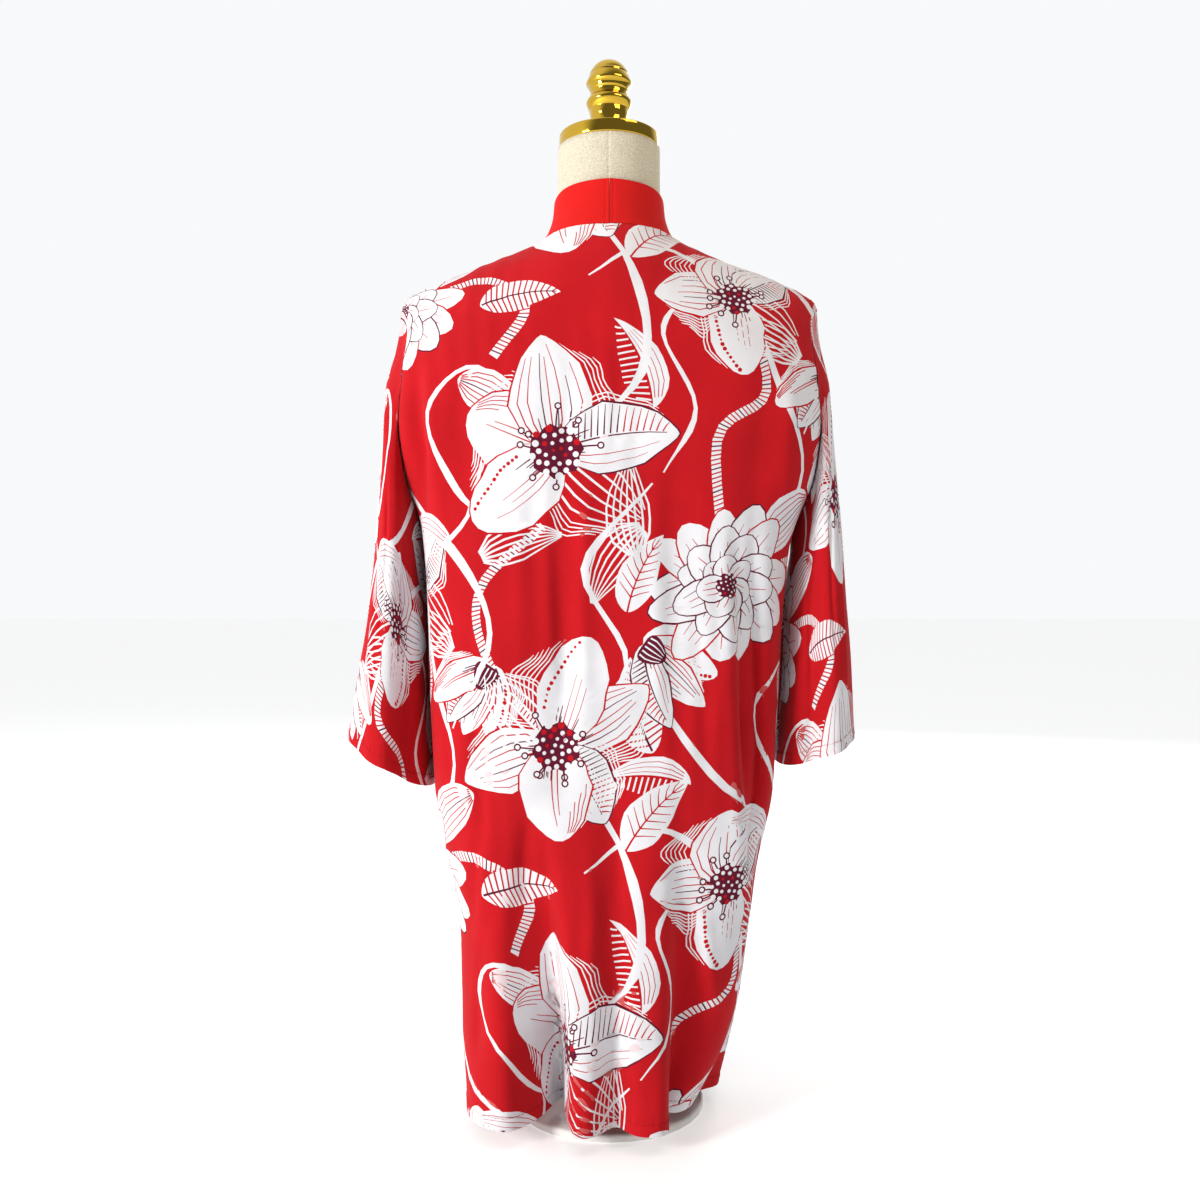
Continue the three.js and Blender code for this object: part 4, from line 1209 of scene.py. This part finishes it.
print("Cutting the back and fronts")
backCreases = [  # x, z; wide; height
    ([(-3, 850), (-2, 780), (2, 680), (6, 590)], 7, 0.8),
    ([(41, 730), (42, 640), (40, 540)], 9, -2.2),
    ([(22, 640), (26, 500), (22, 380)], 8, 2.6),
    ([(58, 620), (57, 500), (50, 400)], 7, 2.4),
    ([(74, 330), (78, 270), (74, 210)], 8, -3.8),
    ([(131, 500), (132, 430), (122, 340), (112, 250)], 5, -2.6),
    ([(112, 360), (117, 242), (123, 166), (128, 90), (130, -40)], 8, 4.0),
    ([(86, 340), (84, 230), (82, 130), (78, -60)], 17, -7.0),
    ([(-84, 240), (-92, 180), (-102, 110)], 8, 4.0),
    ([(-104, 600), (-113, 480), (-122, 363), (-126, 200)], 9, 4.6),
    ([(-134, 600), (-139, 480), (-143, 363), (-140, 200)], 8, -11.0),
    ([(-80, 520), (-88, 420), (-94, 320)], 8, -2.4),
    ([(-40, 560), (-46, 440), (-52, 330)], 8, 1.8),
    ([(-26, 700), (-30, 600), (-34, 480)], 9, -1.6),
    ([(150, 740), (138, 650), (126, 560)], 12, -2.0),
    ([(176, 740), (168, 660), (160, 580), (158, 480)], 9, 2.6),
    ([(-150, 740), (-140, 650), (-128, 560)], 12, -2.2),
    ([(-176, 735), (-168, 650), (-166, 560)], 9, 2.4),
    ([(190, 770), (150, 720), (110, 690)], 10, -0.9),
    ([(-190, 770), (-150, 715), (-105, 690)], 10, -1.0),
    ([(60, 850), (110, 800), (150, 760)], 12, -0.7),
    ([(-60, 850), (-110, 805), (-150, 765)], 12, -0.7),
    ([(90, 640), (84, 540), (88, 430)], 10, 2.0),
    ([(20, 300), (16, 180), (12, 60)], 7, 2.4),
    ([(-6, 330), (-10, 200), (-8, 60)], 6, -2.2),
    ([(46, 200), (44, 110), (40, 30)], 6, -2.2),
    ([(160, 480), (156, 400), (150, 330)], 5, -2.0),
]
frontCreases = [
    ([(150, 740), (140, 650), (132, 540), (130, 430)], 11, -2.2),
    ([(172, 720), (160, 620), (156, 500)], 9, 2.4),
    ([(96, 640), (92, 520), (94, 400)], 8, 1.8),
    ([(108, 560), (108, 440), (104, 330)], 6, -2.4),
    ([(130, 360), (132, 250), (128, 130)], 5, -2.6),
    ([(190, 768), (150, 715), (112, 690)], 10, -0.9),
    ([(-148, 740), (-138, 640), (-134, 540)], 11, -2.2),
    ([(-170, 720), (-162, 620), (-158, 500)], 9, 2.2),
    ([(-98, 630), (-94, 520), (-96, 390)], 8, 2.0),
    ([(-112, 540), (-110, 430), (-104, 320)], 6, -2.6),
    ([(-124, 340), (-118, 230), (-110, 110)], 5, -2.6),
    ([(-190, 766), (-148, 712), (-110, 692)], 10, -0.9),
]
backChart, frontChart = makeBodyChart(1), makeBodyChart(-1)
creaseChart(backChart, backCreases)
creaseChart(frontChart, frontCreases)
cutPlaces = {  # where each panel lay on the printed cloth
    "back": (40, 20), "front_left": (180, 300), "front_right": (330, 60),
    "sleeve_left": (120, 400), "sleeve_right": (10, 150),
}
hemZ = jacket["hemZ"]
outline = backOutline(backChart)
makePanel("back_panel", "back", backChart, outline, hemZ)
for name, side in (("left", 1), ("right", -1)):
    outline = frontOutline(frontChart, side)
    makePanel("front_panel_" + name, "front_" + name, frontChart, outline, hemZ)

print("Cutting the sleeves")
sleeveCreases = [  # u round the sleeve from its shoulder line, z; wide; height
    ([(-60, 740), (-40, 660), (-46, 560), (-60, 470)], 7, -2.0),
    ([(-24, 720), (-20, 600), (-30, 480)], 8, 1.8),
    ([(40, 740), (52, 640), (44, 540)], 7, -2.0),
    ([(16, 700), (22, 580), (14, 450)], 8, 1.6),
    ([(-96, 640), (-88, 540), (-98, 440)], 6, -2.4),
    ([(96, 650), (104, 540), (98, 430)], 6, -2.4),
    ([(72, 560), (76, 470), (70, 400)], 6, 1.8),
    ([(-76, 520), (-72, 450), (-78, 390)], 6, 1.8),
    ([(-10, 560), (0, 470), (-4, 400)], 7, -1.6),
    ([(150, 600), (156, 500), (150, 410)], 6, -2.0),
    ([(-150, 600), (-158, 500), (-150, 410)], 6, -2.0),
]
for name, side in (("left", 1), ("right", -1)):
    chart = SleeveChart(name, side)
    shape = chart.places.shape[:2]
    across = np.broadcast_to(chart.u0 + chart.uStep * np.arange(shape[1]), shape)
    creaseChart(chart, sleeveCreases, across, 0.4)
    rings = np.linalg.norm(np.diff(chart.places, axis=1), axis=-1).sum(1)
    print("sleeve", name, "long", chart.length.min(), chart.length.max(), "round", rings[0], rings[-1])
    makePanel("sleeve_cloth_" + name, "sleeve_" + name, chart, sleeveOutline(chart), 0.0)


# Places and normals of the band. along is 0 at the centre back, 1 at the neck's side, 2 where it lies flat.
def bandPoints(side, along, z, across):
    share = read(bandEdge, "share", along, "along")
    rise = read(bandEdge, "rise", along, "along")
    lift = mix(jacket["seamGap"] * clamp01(2 - along), rise, across)
    edge = read(frontEdges, "x", z) - jacket["seamGap"] / 2
    middleGap = 0.7 * jacket["seamGap"] / float(read(bodySections, "back", jacket["neckZ"]))
    seam = np.where(along <= 1, side * mix(middleGap, math.pi / 2, along), turnAtFront(z, side, edge))
    flat = turnAtFront(z, side, edge - band["width"])
    turn = seam + (flat - seam) * share * across
    return sectionPoints(bodySections, turn, z + lift, True), bodyNormals(turn, z + lift)


bandSeam = {"off": 3.6, "wide": 0.8, "deep": 0.4}  # the pressed seam edge that shows beside the centre back


# The folded band as one closed tube, its rings set from the centre back round the neck and down to the hem.
def bandMesh(name, side):
    bySeam = [0, 0.004, 0.01, 0.018, 0.026, 0.032, 0.037, 0.042, 0.05, 0.065]
    back = np.concatenate([bySeam, np.linspace(0.085, 1, 50)])
    neck = np.linspace(0, 1, 90)[1:]
    low = np.append(np.arange(band["flatZ"] - 3, jacket["hemZ"], -3.0), jacket["hemZ"])
    along = np.concatenate([back, 1 + neck, np.full(len(low), 2.0)])
    neckZ = mix(jacket["neckZ"], band["flatZ"], neck ** band["neckGrowth"])
    z = np.concatenate([np.full(len(back), jacket["neckZ"]), neckZ, low])
    half = band["thick"] / 2
    edge = half / band["width"]
    bend = np.linspace(0.5, 2.64, 4)  # the rounding of the fold and of the seamed edge
    loop = [(a, 0.0) for a in np.linspace(edge, 1 - edge, 13)]
    loop += [(1 - edge + edge * math.sin(t), half - half * math.cos(t)) for t in bend]
    loop += [(a, band["thick"]) for a in np.linspace(1 - edge, edge, 13)]
    loop += [(edge - edge * math.sin(t), half + half * math.cos(t)) for t in bend]
    rings = []
    for across, deep in loop:
        places, out = bandPoints(side, along, z, across)
        run = runAlong(places)
        sway = 0.3 * np.sin(run / 13 + 3 * across) * np.sin(run / 37 + across)
        sway += 0.22 * np.sin(run / 3.1 + np.sin(run / 19)) * np.exp(-across / 0.12)
        groove = bandSeam["deep"] * np.exp(-((run - bandSeam["off"]) / bandSeam["wide"]) ** 2)
        lift = (sway - 0.25) * smooth(run / 6) - groove if deep < half else 0 * run
        rings.append(places - out * (deep - lift)[:, None])
    grid = np.stack(rings, 1)
    rows, columns = grid.shape[:2]
    piece = meshPiece(name, grid.reshape(-1, 3), tubeFaces(rows, columns, side > 0))
    run = runAlong(grid[:, 6])  # down the middle of the outer face
    flat = np.zeros((rows, columns, 3))
    flat[..., 0] = run[:, None]
    flat[..., 1] = [a * band["width"] for a, deep in loop]
    keepFlat(piece.data, flat)
    return piece, run[-1]


print("Folding the collar band")
for name, side in (("left", 1), ("right", -1)):
    piece, length = bandMesh("collar_band_" + name, side)
    finishPiece(addMaterials(piece, plainRed), "band_" + name)
    print("band", name, "long", length)


def ringPiece(name, rings):
    rings = np.asarray(rings)
    return meshPiece(name, rings.reshape(-1, 3), tubeFaces(*rings.shape[:2]))


formSeams = {"turns": (0.9, 62, 118, 180, 242, 298), "wide": 2.4, "deep": 0.45}


# The cover's seams run down the form as narrow grooves in its own surface.
def sinkSeams(rings, turns):
    for seam in formSeams["turns"]:
        away = (np.degrees(turns) - seam + 180) % 360 - 180
        reach = np.linalg.norm(rings[..., :2], axis=-1)
        off = np.abs(away) * np.pi / 180 * reach
        sink = formSeams["deep"] * np.exp(-(off / formSeams["wide"] * 2) ** 2)
        rings[..., :2] *= (1 - sink / np.maximum(reach, 1))[..., None]
    return rings


def makeForm():
    degrees = set(np.arange(0, 360, 2.5))
    for seam in formSeams["turns"]:
        degrees |= {round((seam + off) % 360, 3) for off in (-1.5, -0.8, -0.4, 0, 0.4, 0.8, 1.5)}
    turns = np.radians(sorted(degrees))[::-1]
    rows = {z: sectionPoints(formSections, turns, z) for z in formSections["z"]}
    inset = solidWall + form["restGap"]
    for z in form["shoulders"]:
        level = np.full(len(turns), float(z))
        rows[z] = sectionPoints(bodySections, turns, level) - inset * bodyNormals(turns, level, False)
    for z, radius in form["neck"]:
        level = np.full(len(turns), float(z))
        rows[z] = np.stack([radius * np.sin(turns), radius * np.cos(turns), level], -1)
    heights = sorted(rows)
    stack = np.array([rows[z] for z in heights])
    fine = []  # rows between the given ones
    for low in range(len(heights) - 1):
        count = max(1, int(round((heights[low + 1] - heights[low]) / form["rowStep"])))
        fine += [low + t for t in np.arange(count) / count]
    fine = np.array(fine + [len(heights) - 1])
    column = {"at": np.arange(len(heights), dtype=float)}
    rings = np.zeros((len(fine), len(turns), 3))
    for i in range(len(turns)):
        for k in range(3):
            column["value"] = stack[:, i, k]
            rings[:, i, k] = read(column, "value", fine, "at")
    return ringPiece("dress_form", sinkSeams(rings, turns))


def arc(centreR, centreZ, radiusR, radiusZ, low, high, steps):
    t = np.radians(np.linspace(low, high, steps + 1))
    return list(zip(centreR + radiusR * np.cos(t), centreZ + radiusZ * np.sin(t)))


def lathe(name, profile, sides=96):
    turns = np.linspace(0, 2 * math.pi, sides, endpoint=False)
    return ringPiece(name, [[(r * math.cos(t), r * math.sin(t), z) for t in turns] for r, z in profile])


neckCap = {"radius": 50.8, "edge": 2.0, "low": 971.0, "high": 985.0}
finialRings = [  # radius, height
    (19.0, 995.3), (18.8, 1004), (20.4, 1010.6), (20.0, 1011.2), (20.6, 1011.8), (22.9, 1017.2),
    (23.3, 1018.8), (22.9, 1020.4), (19.9, 1025.2), (19.2, 1025.8), (19.4, 1026.6), (18.7, 1028.6),
    (19.2, 1031.6), (20.0, 1032.2), (19.6, 1033.0), (22.9, 1037.2), (23.4, 1038.8), (22.7, 1040.6),
    (20.3, 1046.8), (19.0, 1048.4), (19.6, 1049.2),
]
finialFoot, finialDome = (21.5, 988.3, 1.5, 3, -90, 60, 6), (0, 1043, 20.4, 19.7, 18, 88, 16)


def capProfile():
    edge, low, high = neckCap["edge"], neckCap["low"], neckCap["high"]
    middle = neckCap["radius"] - edge
    under, over = (low + edge, -90, 0), (high - edge, 0, 90)
    rounded = [point for z, a, b in (under, over) for point in arc(middle, z, edge, edge, a, b, 5)]
    return [(0.5, low), *rounded, (0.5, high)]


print("Building the dress form")
finishPiece(addMaterials(makeForm(), linen), "form")
finialProfile = [(0.5, 985.3), *arc(*finialFoot), *finialRings, *arc(*finialDome)]
for node, profile in (("neck_cap", capProfile()), ("finial", finialProfile)):
    finishPiece(addMaterials(lathe("gold_" + node, profile), gold), node)
for node in ("post", "base"):
    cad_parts[node].data.materials.clear()
    addMaterials(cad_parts[node], enamel)

# Floor, light and camera, in metres
studio = {
    "lens": 35.2, "camera": (0.0092, 1.2, 0.5115), "aim": (0, 0, 0.5),
    "floor": (0.76, 0.76, 0.76), "floorReach": 30.0, "floorGlow": 0.43,
    # the room is bright towards brightSide and dim on the other side, with a soft turn between
    "world": (0.98, 0.99, 1.0), "brightSide": (0.62, -0.76, 0.2),
    "turnFrom": -0.25, "turnTo": 0.36, "ahead": 0.18, "behind": 0.96,
    "lamps": (  # name, place, size, power, colour
        ("key", (2.7, 2.0, 1.4), 0.8, 100, (1, 0.98, 0.95)),
        ("warm", (-0.45, 0.35, 1.45), 0.35, 2.2, (1, 0.8, 0.58)),
        ("fill", (-0.9, -2.8, 1.7), 1.2, 36, (0.97, 0.98, 1)),
    ),
}


def lightRoom(scene):
    scene.world = bpy.data.worlds.new("studio")
    scene.world.use_nodes = True
    tree = scene.world.node_tree
    background = fill(tree.nodes["Background"], {0: studio["world"] + (1,)})
    place = addNode(tree, "TexCoord")
    facing = addNode(tree, "VectorMath", {1: studio["brightSide"]}, operation="DOT_PRODUCT")
    strength = addNode(tree, "MapRange", {
        "From Min": studio["turnFrom"], "From Max": studio["turnTo"],
        "To Min": studio["ahead"], "To Max": studio["behind"],
    }, interpolation_type="SMOOTHSTEP")
    tree.links.new(place.outputs["Generated"], facing.inputs[0])
    tree.links.new(facing.outputs["Value"], strength.inputs["Value"])
    tree.links.new(strength.outputs["Result"], background.inputs[1])
    for name, place, size, power, colour in studio["lamps"]:
        data = bpy.data.lights.new(name, "AREA")
        data.size, data.energy, data.color = size, power, colour
        lamp = bpy.data.objects.new(name, data)
        lamp.location = place
        lamp.rotation_euler = (Vector(studio["aim"]) - Vector(place)).to_track_quat("-Z", "Y").to_euler()
        scene.collection.objects.link(lamp)


def layFloor(scene):
    mesh, reach = bpy.data.meshes.new("floor"), studio["floorReach"]
    corners = [(x * reach, y * reach, 0) for x, y in ((-1, -1), (1, -1), (1, 1), (-1, 1))]
    mesh.from_pydata(corners, [], [(0, 1, 2, 3)])
    floor = bpy.data.objects.new("floor", mesh)
    scene.collection.objects.link(floor)
    paint = newMaterial("floor_paint", {
        "Base Color": studio["floor"] + (1,), "Roughness": 0.9,
        "Emission Color": (1, 1, 1, 1), "Emission Strength": studio["floorGlow"],
    })[0]
    addMaterials(floor, paint)


def setCamera(scene):
    data = bpy.data.cameras.new("camera")
    data.lens, data.sensor_width, data.clip_end = studio["lens"], 36.0, 100.0
    camera = bpy.data.objects.new("camera", data)
    camera.location = studio["camera"]
    camera.rotation_euler = (math.radians(90), 0, math.radians(180))
    scene.collection.objects.link(camera)
    scene.camera = camera


print("Lighting the studio")
bpy.context.scene.view_settings.view_transform = "Standard"
for make in (lightRoom, layFloor, setCamera):
    make(bpy.context.scene)
